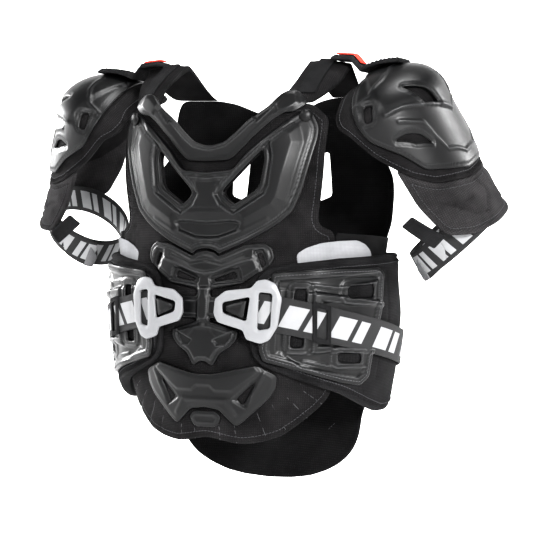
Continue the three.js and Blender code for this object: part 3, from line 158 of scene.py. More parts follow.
def within(points, loop):
    """True where a flat point is inside a closed loop."""
    x, y = points[:, 0], points[:, 1]
    hit = np.zeros(len(points), bool)
    loop = np.asarray(loop, float)
    for (ax, ay), (bx, by) in zip(loop, np.roll(loop, -1, axis=0)):
        crosses = (ay > y) != (by > y)
        with np.errstate(divide="ignore", invalid="ignore"):
            hit ^= crosses & (x < (bx - ax) * (y - ay) / (by - ay) + ax)
    return hit


def field(points, loop, height, slope):
    """A raised or sunk area with sloping sides of that width, centred on its outline."""
    away = path_distance(points, loop, closed=True)
    inward = np.where(within(points, loop), away, -away)
    return height * np.clip(inward / slope + 0.5, 0, 1)


def puckers(points, size, height, seed):
    """Slow uneven swelling of stuffed cloth, as a sum of a few crossing waves."""
    random = np.random.default_rng(seed)
    total = np.zeros(len(points))
    for _ in range(7):
        lean, phase = random.uniform(0, np.pi), random.uniform(0, 2 * np.pi)
        length = size * random.uniform(0.6, 1.6)
        across = points[:, 0] * np.cos(lean) + points[:, 1] * np.sin(lean)
        total += np.sin(across * 2 * np.pi / length + phase)
    return height * total / 2.6


def line(points, path, height, width):
    """A bead or groove along a line."""
    return height * np.exp(-((path_distance(points, path) / width) ** 2))


def seam(depth, place, width):
    """A rounded crest of height one along a panel's edge, at that depth inside it."""
    return np.exp(-(((depth - place) / width) ** 2))


def folded(points):
    """Flat points with the left half turned over onto the right one."""
    return np.stack([np.abs(points[:, 0]), points[:, 1]], 1)


def mirrored(half):
    """A whole outline from its right half, which starts and ends on the centre line."""
    return half + [(-u, v) for u, v in reversed(half) if u > 0]


def flipped(loop):
    """The mirror image of a closed outline."""
    return [(-u, v) for u, v in reversed(loop)]


def soft_loop(loop, radius, spacing):
    """A closed outline with its corners rounded, in even steps."""
    loop = np.asarray(loop, float)
    out = []
    for i, p in enumerate(loop):
        a, b = loop[i - 1], loop[(i + 1) % len(loop)]
        la, lb = np.linalg.norm(a - p), np.linalg.norm(b - p)
        reach = min(radius, 0.48 * la, 0.48 * lb)
        p1, p2 = p + (a - p) / la * reach, p + (b - p) / lb * reach
        for t in np.linspace(0, 1, 6):
            out.append((1 - t) ** 2 * p1 + 2 * t * (1 - t) * p + t * t * p2)
    out = np.array(out)
    closed = np.vstack([out, out[:1]])
    walked = np.concatenate([[0], np.cumsum(np.linalg.norm(np.diff(closed, axis=0), axis=1))])
    count = max(8, int(round(walked[-1] / spacing)))
    at = np.linspace(0, walked[-1], count, endpoint=False)
    return np.stack([np.interp(at, walked, closed[:, 0]), np.interp(at, walked, closed[:, 1])], 1)


def inset(loop, loops, depth, solid):
    """The loop moved into the solid by depth, without the points that come too near an edge."""
    tangent = np.roll(loop, -1, axis=0) - np.roll(loop, 1, axis=0)
    normal = np.stack([tangent[:, 1], -tangent[:, 0]], 1)
    normal /= np.maximum(np.linalg.norm(normal, axis=1, keepdims=True), 1e-9)
    moved = loop + normal * depth
    if solid(moved).mean() < 0.5:
        moved = loop - normal * depth
    edge = np.min([path_distance(moved, other, closed=True) for other in loops], axis=0)
    return moved[solid(moved) & (edge > depth * 0.93)]


def to_mesh(name, points, faces, uv=None, edge=None):
    """A mesh object in metres from points in millimetres, with its faces turned outwards."""
    corner = points[faces[:, :3]]
    volume = np.einsum("ij,ij->i", corner[:, 0], np.cross(corner[:, 1], corner[:, 2])).sum()
    if volume < 0:
        faces = faces[:, ::-1]
    mesh = bpy.data.meshes.new(name)
    mesh.from_pydata((points * MM).tolist(), [], faces.tolist())
    if uv is not None:
        layer = mesh.uv_layers.new(name="UVMap")
        loops = np.empty(len(mesh.loops), np.int32)
        mesh.loops.foreach_get("vertex_index", loops)
        layer.data.foreach_set("uv", (uv[loops] * MM).astype(np.float32).ravel())
    tag = mesh.attributes.new("edge", "FLOAT", "POINT")
    tag.data.foreach_set("value", (np.zeros(len(points)) if edge is None else edge).astype(np.float32))
    mesh.shade_smooth()
    obj = bpy.data.objects.new(name, mesh)
    bpy.context.scene.collection.objects.link(obj)
    return obj


def convexity(points, faces, spacing):
    """How far each point stands out from its neighbours, from 0 to 1, for the painted highlight and wear
    along edges.
    """
    total, count = np.zeros_like(points), np.zeros(len(points))
    normal = np.zeros_like(points)
    across = np.cross(points[faces[:, 1]] - points[faces[:, 0]], points[faces[:, 2]] - points[faces[:, 0]])
    for k in range(3):
        np.add.at(total, faces[:, k], points[faces[:, (k + 1) % 3]] + points[faces[:, (k + 2) % 3]])
        np.add.at(count, faces[:, k], 2)
        np.add.at(normal, faces[:, k], across)
    normal /= np.maximum(np.linalg.norm(normal, axis=1, keepdims=True), 1e-9)
    lean = points - total / np.maximum(count, 1)[:, None]
    return np.clip(np.einsum("ij,ij->i", lean, normal) / spacing * 4 - 0.3, 0, 1)


def panel(name, outline, surface, inner, outer, holes=(), spacing=4.0, corner=8.0, rim=2.0, shape=None,
          nodes=(), material=None, side=1, inner_rim=0.5):
    """A closed sheet bent onto a surface from a flat map, with holes and rounded edges. The relief
    comes from shape, called with the flat points and how far each is inside an edge."""
    loops = [soft_loop(outline, corner, spacing)]
    loops += [soft_loop(hole, min(corner, 4), spacing * 0.8) for hole in holes]

    def solid(p):
        inside = within(p, loops[0])
        for hole in loops[1:]:
            inside &= ~within(p, hole)
        return inside

    def edge_distance(p):
        return np.min([path_distance(p, loop, closed=True) for loop in loops], axis=0)

    rings = [inset(loop, loops, rim * share, solid) for loop in loops for share in (0.14, 0.42, 0.95)]
    low, high = loops[0].min(0), loops[0].max(0)
    us, vs = np.arange(low[0], high[0], spacing), np.arange(low[1], high[1], spacing * 0.87)
    grid = np.array([(u + (spacing / 2 if j % 2 else 0), v) for j, v in enumerate(vs) for u in us])
    grid = grid[solid(grid)]
    grid = grid[edge_distance(grid) > rim + spacing * 0.35]
    flat = np.vstack(loops + rings + [grid])
    edges, start = [], 0
    for loop in loops:
        edges += [(start + i, start + (i + 1) % len(loop)) for i in range(len(loop))]
        start += len(loop)
    made = delaunay_2d_cdt([Vector(p) for p in flat], edges, [], 0, 1e-5)
    flat = np.array([tuple(p) for p in made[0]])
    tris = np.array([face for face in made[2] if len(face) == 3])
    tris = tris[solid(flat[tris].mean(1))]
    used, tris = np.unique(tris, return_inverse=True)
    flat, tris = flat[used], tris.reshape(-1, 3)

    def height(p):
        d = edge_distance(p)
        base = outer(p) if callable(outer) else outer
        drop = rim - np.sqrt(np.maximum(rim * rim - (rim - np.minimum(d, rim)) ** 2, 0))
        return base - drop + (shape(p, d) if shape else 0)

    d = edge_distance(flat)
    base = inner(flat) if callable(inner) else inner
    under = rim * inner_rim
    drop = under - np.sqrt(np.maximum(under ** 2 - (under - np.minimum(d, under)) ** 2, 0)) if under else 0
    top = surface(flat[:, 0] * side, flat[:, 1], height(flat))
    bottom = surface(flat[:, 0] * side, flat[:, 1], base + drop)
    n = len(flat)
    counts = {}
    for tri in tris:
        for a, b in ((tri[0], tri[1]), (tri[1], tri[2]), (tri[2], tri[0])):
            counts[(a, b)] = counts.get((a, b), 0) + 1
    border = [(a, b) for a, b in counts if (b, a) not in counts]
    walls = [t for a, b in border for t in ((a, a + n, b), (b, a + n, b + n))]
    faces = np.vstack([tris, tris[:, ::-1] + n, np.array(walls)])
    points = np.vstack([top, bottom])
    # Convexity paints a highlight along the ridges, partly standing for scuffing; only the shell materials
    # read it.
    ridge_highlight_and_wear = np.concatenate([convexity(top, tris if side > 0 else tris[:, ::-1], spacing), np.zeros(n)])
    obj = to_mesh(name, points, faces, np.vstack([flat, flat]), ridge_highlight_and_wear)
    obj.data.materials.append(material)
    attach(obj, "root")
    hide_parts(*nodes)
    return {"object": obj, "surface": surface, "height": height, "loops": loops, "solid": solid, "side": side}


def new_material(name):
    """A material with its node tree and its main shader."""
    material = bpy.data.materials.new(name)
    material.use_nodes = True
    tree = material.node_tree
    return material, tree, tree.nodes["Principled BSDF"]


def put(tree, kind, **values):
    """A node with its properties, and its inputs given by name or number, set."""
    node = tree.nodes.new(kind)
    for key, value in values.items():
        if key == "ins":
            for socket, entry in value.items():
                if isinstance(entry, bpy.types.NodeSocket):
                    tree.links.new(entry, node.inputs[socket])
                else:
                    node.inputs[socket].default_value = entry
        else:
            setattr(node, key, value)
    return node


def calc(tree, operation, a, b=0.0):
    """The result of a sum on numbers or on the outputs of other nodes."""
    return put(tree, "ShaderNodeMath", operation=operation, ins={0: a, 1: b}).outputs[0]


# The open spacer mesh of all the padded pieces: rows of small holes, over a cloudy dye.
mesh_weave = bpy.data.node_groups.new("mesh_weave", "ShaderNodeTree")
mesh_weave.interface.new_socket("Vector", in_out="INPUT", socket_type="NodeSocketVector")
mesh_weave.interface.new_socket("Threads", in_out="INPUT", socket_type="NodeSocketFloat")
mesh_weave.interface.new_socket("Height", in_out="OUTPUT", socket_type="NodeSocketFloat")
entry = mesh_weave.nodes.new("NodeGroupInput")
leave = mesh_weave.nodes.new("NodeGroupOutput")
parts = put(mesh_weave, "ShaderNodeSeparateXYZ", ins={0: entry.outputs["Vector"]})
waves = []
for axis in ("X", "Y"):
    turn = calc(mesh_weave, "MULTIPLY", parts.outputs[axis], entry.outputs["Threads"])
    waves.append(calc(mesh_weave, "ABSOLUTE", calc(mesh_weave, "SINE", turn)))
product = calc(mesh_weave, "MULTIPLY", waves[0], waves[1])
mesh_weave.links.new(product, leave.inputs["Height"])

# Cloudiness: slow and fine noise that both mottles a colour and varies a finish.
mottle = bpy.data.node_groups.new("mottle", "ShaderNodeTree")
for label, kind in (("Vector", "NodeSocketVector"), ("Scale", "NodeSocketFloat"),
                    ("Amount", "NodeSocketFloat")):
    mottle.interface.new_socket(label, in_out="INPUT", socket_type=kind)
mottle.interface.new_socket("Value", in_out="OUTPUT", socket_type="NodeSocketFloat")
entry = mottle.nodes.new("NodeGroupInput")
leave = mottle.nodes.new("NodeGroupOutput")
cloud = put(mottle, "ShaderNodeTexNoise", ins={
    "Vector": entry.outputs["Vector"], "Scale": entry.outputs["Scale"], "Detail": 5.0, "Roughness": 0.6})
centred = calc(mottle, "SUBTRACT", cloud.outputs["Fac"], 0.5)
swing = calc(mottle, "MULTIPLY", centred, entry.outputs["Amount"])
mottle.links.new(calc(mottle, "ADD", swing, 0.5), leave.inputs["Value"])


def cloth_material(name, dark, light, threads, bump):
    """Woven or knitted cloth whose threads follow the piece's own map."""
    material, tree, shader = new_material(name)
    coords = put(tree, "ShaderNodeTexCoord")
    weave = put(tree, "ShaderNodeGroup", node_tree=mesh_weave, ins={
        "Vector": coords.outputs["UV"], "Threads": threads})
    cloudy = put(tree, "ShaderNodeGroup", node_tree=mottle, ins={
        "Vector": coords.outputs["Object"], "Scale": 22.0, "Amount": 1.6})
    blended = calc(tree, "MULTIPLY", calc(tree, "ADD", weave.outputs["Height"], 0.6), cloudy.outputs["Value"])
    colour = put(tree, "ShaderNodeMix", data_type="RGBA", ins={
        0: blended, 6: (*dark, 1), 7: (*light, 1)})
    tree.links.new(colour.outputs[2], shader.inputs["Base Color"])
    raised = put(tree, "ShaderNodeBump", ins={
        "Strength": bump, "Distance": 0.0006, "Height": weave.outputs["Height"]})
    tree.links.new(raised.outputs["Normal"], shader.inputs["Normal"])
    shader.inputs["Roughness"].default_value = 0.95
    shader.inputs["Specular IOR Level"].default_value = 0.12
    return material


spacer_mesh = cloth_material("spacer_mesh", (0.0035, 0.0034, 0.0036), (0.020, 0.0192, 0.0198), 1500.0, 0.7)
VENT = [(65.8, -100.1), (67.9, -112), (63.7, -140.1), (59.5, -147.1), (32.9, -165), (23.8, -158),
        (18.9, -151), (23.8, -144)]
FRONT_HALF = [
    (0, -100.7), (18.9, -96.5), (46, -71.1), (66, -55.1), (81, -46.8), (118, -46.8), (130, -56.8),
    (138, -63.5), (138, -77), (136, -101), (135, -129.9), (132, -159.9), (129, -180), (132, -190.1),
    (150, -197), (150, -388), (137, -402.8), (112, -421.9), (88, -437.9), (64, -444.9), (40, -448),
    (20, -444.2), (0, -440),
]
HEM_QUILTS = [
    [(16, -424), (16, -442)], [(34, -424), (36, -445)], [(60, -408), (70, -438)],
    [(78, -400), (93, -430)], [(96, -392), (118, -416)], [(112, -382), (136, -400)],
]


def front_shape(p, d):
    """Binding at the edge, slow swelling, hem quilts and creases under the arms."""
    q = folded(p)
    h = 0.9 * smooth((d - 5) / 12) - 0.9 * seam(d, 5.5, 1.2)
    h += puckers(p, 46, 1.0, 4) * smooth((d - 8) / 14)
    for quilt in HEM_QUILTS:
        h += line(q, quilt, -1.3, 2.2)
    for crease in ([(104, -200), (118, -214), (125, -238)], [(110, -190), (126, -206), (134, -240)],
                   [(106, -168), (124, -172)], [(112, -150), (128, -152)], [(98, -186), (116, -194)],
                   [(122, -110), (128, -140), (124, -176)]):
        h += line(q, crease, -1.1, 1.5)
    return h


vent_left = flipped(VENT)
vest_front = panel("front_body", mirrored(FRONT_HALF), on_torso, 0.4, BODY_WALL - 0.4,
                   holes=[VENT, vent_left], spacing=4.2, rim=2.6, shape=front_shape, nodes=["vest_front"],
                   material=spacer_mesh, inner_rim=0.9)

# Back body: the same padded mesh, one panel from the shoulders to a rounded tail, with two tall
# vents and quilted channels that run down the spine.
BACK_HALF = [
    (0, -54), (28, -48), (58, -35), (80, -30.8), (127, -30.8), (136, -45.4), (143, -69.9),
    (148, -99.4), (162, -117), (176, -134.5), (181, -158), (181, -187.7), (168, -207), (168, -388),
    (156.2, -396), (138.2, -411.9), (129.3, -430.2), (128, -449.7), (122.9, -466.8), (112.6, -481.4),
    (98.6, -493.6), (80.6, -503.4), (57.6, -511.9), (32, -516.2), (0, -518),
]
BACK_VENT = [(44, -104.4), (68, -98), (71, -155), (52.1, -162)]
BACK_CHANNELS = [
    [(0, -80), (0, -420)], [(32, -90), (30, -250), (26, -420)], [(82, -80), (86, -190), (78, -400)],
    [(122, -130), (118, -250), (108, -390)], [(0, -200), (84, -214), (150, -214)],
    [(0, -320), (80, -330), (150, -330)], [(0, -432), (70, -430), (118, -418)],
    [(92, -440), (60, -470), (0, -484)],
]
back_lining = cloth_material("back_lining", (0.0028, 0.0028, 0.003), (0.013, 0.0128, 0.0132), 1100.0, 0.7)


def back_shape(p, d):
    """Binding at the edge, a soft crown and sunk channels."""
    q = folded(p)
    h = 1.4 * smooth((d - 6) / 14) - 0.9 * seam(d, 6.0, 1.2)
    h += puckers(p, 60, 1.5, 9) * smooth((d - 9) / 16)
    for channel in BACK_CHANNELS:
        h += line(q, channel, -3.6, 6.0)
    return h


vest_back = panel("back_body", mirrored(BACK_HALF), on_back, 0.4, BODY_WALL - 0.4,
                  holes=[BACK_VENT, flipped(BACK_VENT)], spacing=5.0, rim=2.6,
                  shape=back_shape, nodes=["vest_back"], material=back_lining, inner_rim=0.9)

# Side gussets: thin stretch cloth sewn between the front and back bodies under the arms, where
# the belt covers most of it. Each is cut flat and pulled smooth between its two seams.
SIDES = ((-1, "left"), (1, "right"))
GUSSET_TOP, GUSSET_HEM = 207.5, 388
BACK_SEAM = 168.8
gusset_cloth = cloth_material("gusset_cloth", (0.004, 0.004, 0.0042), (0.014, 0.0138, 0.0142), 2600.0, 0.3)
for side, label in SIDES:
    zs = -(GUSSET_TOP + (GUSSET_HEM - GUSSET_TOP) * np.linspace(0, 1, 9))
    back_edge = [(float(np.interp(z, LEVELS, torso_lengths)) - BACK_SEAM, z) for z in zs]
    gusset = panel(f"side_gusset_{label}", [(150.8, -198), (150.8, -GUSSET_HEM)] + back_edge[::-1], on_torso,
                   2.2, 3.8, spacing=7.0, corner=2.0, rim=0.6, nodes=[f"vest_side_{label}"],
                   material=gusset_cloth, side=side)

# Shoulder yokes: padded straps in spacer mesh, sewn to the front and back bodies, with a band of
# flat webbing stitched down the middle of each.
ARCH_LENGTH = 210.0
FRONT_FOOT, BACK_FOOT = -46, -30


def torso_depth(across, z, end):
    """How far to the front or the back the skin is at a height, across from the centre."""
    drop = -z / TORSO_LENGTH
    half = torso_column(1, drop) * CHEST_HALF_WIDTH
    power = torso_column(5 if end == "front" else 6, drop)
    middle = torso_column(4, drop) * BACK_DEPTH
    share = (1 - np.minimum(0.999, across / half) ** power) ** (1 / power)
    if end == "front":
        return middle - (torso_column(2, drop) * FRONT_DEPTH + middle) * share
    return middle + (torso_column(3, drop) * BACK_DEPTH - middle) * share


def over_shoulder(across, along, out):
    """Points over a shoulder: across from the centre, along the arch from its front foot."""
    side = np.where(np.asarray(across) < 0, -1.0, 1.0)
    across = np.abs(across)
    share = along / ARCH_LENGTH
    front, back = torso_depth(across, FRONT_FOOT, "front"), torso_depth(across, BACK_FOOT, "back")
    swing = np.cos(np.pi * share)
    rise = (105 - across) * 0.08 + 38
    power = np.where(share > 0.5, 2.6, 1.7)
    y = (back + front) / 2 - ((back - front) / 2 + out) * np.sign(swing) * np.abs(swing) ** 1.7
    z = FRONT_FOOT + (BACK_FOOT - FRONT_FOOT) * share
    z = z + (rise + out) * np.sin(np.pi * np.clip(share, 0, 1)) ** power
    return np.stack([side * across, y, z], 1)


YOKE = [(0.02, 0.00), (0.56, 0.00), (0.72, 0.10), (0.95, 0.25), (1.00, 0.50), (0.95, 0.75), (0.78, 1.00),
        (0.02, 1.00), (0.05, 0.75), (0.03, 0.50), (0.10, 0.25)]
yoke_outline = [(80 + 58 * u, v * ARCH_LENGTH) for u, v in YOKE]
webbing_cloth = cloth_material("webbing_cloth", (0.004, 0.004, 0.0042), (0.024, 0.024, 0.025), 2400.0, 0.8)


def yoke_shape(p, d):
    """A crown with a binding groove."""
    return 1.2 * smooth((d - 4) / 10) - 1.2 - 0.5 * seam(d, 5.0, 1.2)


for side, label in SIDES:
    yoke = panel(f"yoke_{label}", yoke_outline, over_shoulder, 0.4, 8.8, spacing=4.0, corner=6.0, rim=2.6,
                 shape=yoke_shape, nodes=[f"shoulder_yoke_{label}"], material=spacer_mesh, side=side,
                 inner_rim=0.9)
    panel(f"yoke_webbing_{label}", [(97.3, 28), (116.7, 28), (116.7, 184), (97.3, 184)], over_shoulder,
          9.0, 11.6, spacing=3.0, corner=1.5, rim=0.7, shape=lambda p, d: -0.35 * seam(d, 3.2, 0.7),
          nodes=[f"yoke_webbing_{label}"], material=webbing_cloth, side=side)

# Link straps: ribbed elastic webbing from each yoke over the top of the cup, and the red pull
# tabs sewn across it.
red_cloth = cloth_material("red_cloth", (0.42, 0.030, 0.022), (0.80, 0.085, 0.060), 2200.0, 0.5)


STRAP_MIDDLE = -2.0
RIB_PITCH = 5.2


def strip(name, xs, zs, half_width, wall, ribs, material, side):
    """A flat strap that runs outward from the yoke, with ribs across it."""
    count_x, count_y = len(xs), 9
    ys = np.linspace(-half_width, half_width, count_y)
    points, uv = [], []
    for level in (0, 1):
        for i, (x, z) in enumerate(zip(xs, zs)):
            for y in ys:
                edge = min(1.0, (half_width - abs(y)) / 1.2, i / 1.5 + 0.3, (count_x - 1 - i) / 1.5 + 0.3)
                lift = wall * (0.5 + 0.5 * edge) if level else wall * 0.12 * (1 - edge)
                bump = ribs * abs(np.sin(x / RIB_PITCH * np.pi)) if level else 0
                points.append((side * x, STRAP_MIDDLE + y, z + lift + bump * edge))
                uv.append((x, y))
    n = count_x * count_y
    faces = []
    for i in range(count_x - 1):
        for j in range(count_y - 1):
            a, b = i * count_y + j, (i + 1) * count_y + j
            c, e = b + 1, a + 1
            faces += [(a, c, b), (a, e, c), (n + a, n + b, n + c), (n + a, n + c, n + e)]
    ring = (list(range(count_y)) + [i * count_y + count_y - 1 for i in range(1, count_x)]
            + [(count_x - 1) * count_y + j for j in range(count_y - 2, -1, -1)]
            + [i * count_y for i in range(count_x - 2, 0, -1)])
    for a, b in zip(ring, ring[1:] + ring[:1]):
        faces += [(a, a + n, b), (b, a + n, b + n)]
    obj = to_mesh(name, np.array(points), np.array(faces), np.array(uv))
    obj.data.materials.append(material)
    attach(obj, "root")
    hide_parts(name)


def node_reach(name):
    """Where a CAD node begins and ends outward from the centre, in millimetres."""
    low, high = (np.array(corner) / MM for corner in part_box(name))
    return sorted((abs(low[0]), abs(high[0])))


def node_top(name, xs):
    """Upper height of a CAD node at distances outward, in millimetres."""
    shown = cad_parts[name]
    world = np.array([tuple(shown.matrix_world @ v.co) for v in shown.data.vertices]) / MM
    world[:, 0] = np.abs(world[:, 0])
    steps = np.unique(world[:, 0].round(1))
    tops = [world[np.abs(world[:, 0] - s) < 0.2][:, 2].max() for s in steps]
    return np.interp(xs, steps, tops)


for side, label in SIDES:
    near_x, far_x = node_reach(f"link_strap_{label}")
    xs = np.linspace(near_x, far_x, 90)
    tops = node_top(f"link_strap_{label}", xs)
    strip(f"link_strap_{label}", xs, tops - 4.0, 22.0, 4.6, 2.2, webbing_cloth, side)
    near_x, far_x = node_reach(f"red_tab_{label}")
    xs = np.linspace(near_x, far_x - 8, 30)
    tops = node_top(f"red_tab_{label}", xs) + 2.2
    strip(f"red_tab_{label}", xs, tops - 2.3, 9.0, 2.2, 0.0, red_cloth, side)

# Moulded plates: injected plastic shells with a satin skin, raised ribs, sunk vents and rolled
# edges, painted lighter along their ridges as a highlight and as scuffing.
def shell_material(name, dark, light, ridge_highlight_and_wear, roughness, grain):
    """Moulded plastic with a fine grain, cloudy gloss and ridges painted lighter, as highlight and scuffing.
    """
    material, tree, shader = new_material(name)
    coords = put(tree, "ShaderNodeTexCoord")
    cloudy = put(tree, "ShaderNodeGroup", node_tree=mottle, ins={
        "Vector": coords.outputs["Object"], "Scale": 9.0, "Amount": 1.3})
    colour = put(tree, "ShaderNodeMix", data_type="RGBA", ins={
        0: cloudy.outputs["Value"], 6: (*dark, 1), 7: (*light, 1)})
    # Ridges are lightened by the edge attribute: a painted highlight, partly scuffing.
    edge = put(tree, "ShaderNodeAttribute", attribute_name="edge")
    highlit_and_rubbed = put(tree, "ShaderNodeMix", data_type="RGBA", ins={
        0: calc(tree, "MULTIPLY", edge.outputs["Fac"], 0.22), 6: colour.outputs[2], 7: (*ridge_highlight_and_wear, 1)})
    tree.links.new(highlit_and_rubbed.outputs[2], shader.inputs["Base Color"])
    fine = put(tree, "ShaderNodeTexNoise", ins={
        "Vector": coords.outputs["Object"], "Scale": grain, "Detail": 2.0})
    raised = put(tree, "ShaderNodeBump", ins={
        "Strength": 0.16, "Distance": 0.0003, "Height": fine.outputs["Fac"]})
    tree.links.new(raised.outputs["Normal"], shader.inputs["Normal"])
    sheen = put(tree, "ShaderNodeGroup", node_tree=mottle, ins={
        "Vector": coords.outputs["Object"], "Scale": 30.0, "Amount": 0.3})
    tree.links.new(calc(tree, "MULTIPLY", sheen.outputs["Value"], roughness * 2), shader.inputs["Roughness"])
    shader.inputs["Specular IOR Level"].default_value = 0.27
    return material


moulded_shell = shell_material("moulded_shell", (0.0022, 0.0022, 0.0024), (0.0058, 0.0059, 0.0062),
                               (0.11, 0.111, 0.114), 0.40, 1400.0)
COLLAR_HALF = [
    (0, -95), (5, -95), (19, -91), (32, -80), (46, -66), (68, -50), (80, -36), (88, -31), (98, -31),
    (106, -37), (112, -47), (98, -57), (88, -57), (75, -66), (56, -84), (43, -98), (31, -110), (25, -113),
    (0, -114),
]
COLLAR_INNER, COLLAR_OUTER = 9.8, 13.4


def collar_shape(p, d):
    """A raised border, a sunk facet and the thick end over each shoulder."""
    q = folded(p)
    h = 1.3 * np.clip((d - 2.2) / 3.2, 0, 1) - 0.7
    h += field(q, [(50, -60), (66, -45), (72, -52), (57, -68)], -1.6, 1.6)
    h += field(q, [(73, -44), (82, -34), (96, -32), (100, -46), (88, -56), (80, -56)], 1.3, 3.0)
    h += line(q, [(0, -99), (20, -95), (34, -83), (48, -69), (70, -53)], -0.8, 0.9)
    return h


panel("collar_plate", mirrored(COLLAR_HALF), on_torso, COLLAR_INNER, COLLAR_OUTER, spacing=1.6, corner=5.0,
      rim=1.6, shape=collar_shape, nodes=["collar_plate"], material=moulded_shell)

PLATE_INNER, PLATE_OUTER = 6.5, 10.2
CHEST_HALF = [
    (0, -127.1), (32, -124), (38, -117), (49, -103), (67, -86), (88, -68.1), (101, -59), (113, -52),
    (118, -57), (127, -72), (127, -86), (121, -110), (112, -145), (101, -172), (86, -186), (71, -196),
    (48, -209), (30, -217), (16, -223), (12, -218.6), (0, -216),
]
SHIELD = [(-40, -116), (30, -115), (60, -88), (86, -72), (100, -77), (104, -92), (87, -159), (80, -169),
          (46, -189), (38, -180), (-40, -180)]
VENT_RIM = [(72.5, -89.5), (76, -109), (72, -142), (68.5, -151.5), (33, -175.5), (18, -165), (11, -152.5),
            (18.5, -144)]


def chest_shape(p, d):
    """A raised shield between border grooves, with sunk vents and a recess below."""
    q = folded(p)
    h = 2.2 * np.clip(1 - (q[:, 0] / 110) ** 2, 0, 1)
    h += field(q, SHIELD, 4.6, 13.0)
    h -= 1.3 * seam(d, 6.0, 0.9) + 0.7 * seam(d, 9.0, 0.7)
    h += field(q, VENT_RIM, -3.6, 2.6)
    h += field(q, [(-10, -188), (30, -184), (41, -186), (36, -195), (14, -203), (-10, -204)], -3.0, 2.4)
    h += line(q, [(0, -207), (15, -207), (42, -197), (72, -181)], 0.9, 2.0)
    h += field(q, [(-9, -122), (12, -122), (16, -168), (-9, -168)], 0.9, 3.0)
    return h


panel("chest_plate", mirrored(CHEST_HALF), on_torso, PLATE_INNER, PLATE_OUTER, holes=[VENT, vent_left],
      spacing=1.6, corner=6.0, rim=1.6, shape=chest_shape, nodes=["chest_plate"], material=moulded_shell)

# Rivets: flanged plastic buttons pressed through the upper corners of the chest plate, where
# they hold it to the padded body. Each is turned from one profile of radius and height.
RIVET_PROFILE = [(0.0, 0.0), (6.9, 0.0), (7.4, 0.4), (7.5, 1.4), (7.1, 2.0), (5.6, 2.3), (5.2, 2.9),
                 (4.8, 3.2), (0.0, 3.3)]
RIVET_REACH, RIVET_DROP, RIVET_SEAT = 111.0, 61.0, 11.6
RIVET_TURNS = 32
for side, label in SIDES:
    spot = np.array([side * RIVET_REACH]), np.array([-RIVET_DROP])
    seat, above = (on_torso(*spot, RIVET_SEAT + lift)[0] for lift in (0.0, 1.0))
    axis = Vector(above - seat).normalized()
    right = axis.orthogonal().normalized()
    up = axis.cross(right)
    points, faces = [], []
    for radius, height in RIVET_PROFILE[1:-1]:
        for turn in np.linspace(0, 2 * np.pi, RIVET_TURNS, endpoint=False):
            rim = right * (np.cos(turn) * radius) + up * (np.sin(turn) * radius)
            points.append(Vector(seat) + rim + axis * height)
    for height in (RIVET_PROFILE[0][1], RIVET_PROFILE[-1][1]):
        points.append(Vector(seat) + axis * height)
    rows = len(RIVET_PROFILE) - 2
    foot, head = rows * RIVET_TURNS, rows * RIVET_TURNS + 1
    for j in range(RIVET_TURNS):
        k = (j + 1) % RIVET_TURNS
        for i in range(rows - 1):
            a, b = i * RIVET_TURNS + j, i * RIVET_TURNS + k
            faces += [(a, b, b + RIVET_TURNS), (a, b + RIVET_TURNS, a + RIVET_TURNS)]
        faces += [(foot, k, j), (head, foot - RIVET_TURNS + j, foot - RIVET_TURNS + k)]
    rivet = to_mesh(f"rivet_{label}", np.array([tuple(p) for p in points]), np.array(faces))
    rivet.data.materials.append(moulded_shell)
    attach(rivet, "root")
    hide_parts(f"rivet_{label}")

# Abdomen plate: hangs under the chest plate, with four slots, a ridged neck, a small shield and
# the two tongues that the buckles hook over.
ABDOMEN_HALF = [
    (0, -218.6), (12, -221.2), (16, -225.5), (30, -219.5), (48, -211.5), (69, -209), (78, -215.7),
    (81, -226.4), (76, -236.5), (45, -257.6), (13, -263), (8, -265.5), (9, -273), (50, -271.5), (52, -298),
    (9, -298), (8, -302), (42, -312.3), (40, -323), (32, -332), (20, -339.8), (12, -355), (4, -349.6),
    (0, -349.2),
]
ABDOMEN_SLOTS = [
    [(61, -222.4), (66, -222), (71, -235.2), (67, -238.5)],
    [(36.5, -243.3), (11, -252.8), (14.5, -255.2), (39, -250.8)],
]


def abdomen_shape(p, d):
    """Sunk slots, ribs, the ridged neck and the small shield with its two hollows."""
    q = folded(p)
    h = 1.2 * np.clip(1 - (q[:, 0] / 81) ** 2, 0, 1) + 0.8 * smooth((d - 2) / 4)
    h += field(q, [(57, -218), (68, -217), (76, -238), (66, -243)], -2.0, 1.6)
    h += field(q, [(42, -238), (6, -251), (8, -259), (46, -255)], -2.2, 1.6)
    h += line(q, [(0, -246), (12, -244), (40, -233), (54, -229)], 1.8, 1.8)
    h += line(q, [(0, -230), (20, -234), (46, -224)], -1.6, 1.3)
    h -= 1.0 * seam(d, 4.2, 0.8)
    h += field(q, [(-8, -262), (6.5, -262), (6.5, -300), (-8, -300)], 3.0, 3.0)
    h += field(q, [(-6, -304), (34, -313), (33, -322), (26, -331), (16, -337), (10, -348), (-6, -346)],
               1.6, 4.0)
    h += field(q, [(13, -324), (34, -314), (33, -321), (26, -330), (18, -330)], -3.6, 1.0)
    h += line(q, [(-2, -309), (10, -309), (16, -318)], 0.7, 1.8)
    return h


abdomen_holes = ABDOMEN_SLOTS + [flipped(slot) for slot in ABDOMEN_SLOTS]
panel("abdomen_plate", mirrored(ABDOMEN_HALF), on_torso, PLATE_INNER, PLATE_OUTER, holes=abdomen_holes,
      spacing=1.4, corner=3.5, rim=1.3, shape=abdomen_shape, nodes=["abdomen_plate"], material=moulded_shell)
for side, label in SIDES:
    panel(f"buckle_tongue_{label}", [(31.5, -281.4), (53.6, -275.4), (50.3, -296.6), (31.6, -288.1)],
          on_torso, 10.6, 26.6, spacing=2.0, corner=2.0, rim=1.2, material=moulded_shell,
          shape=lambda p, d: 0.8 * smooth((d - 1) / 3) - 0.8, nodes=["abdomen_plate"],
          side=side)

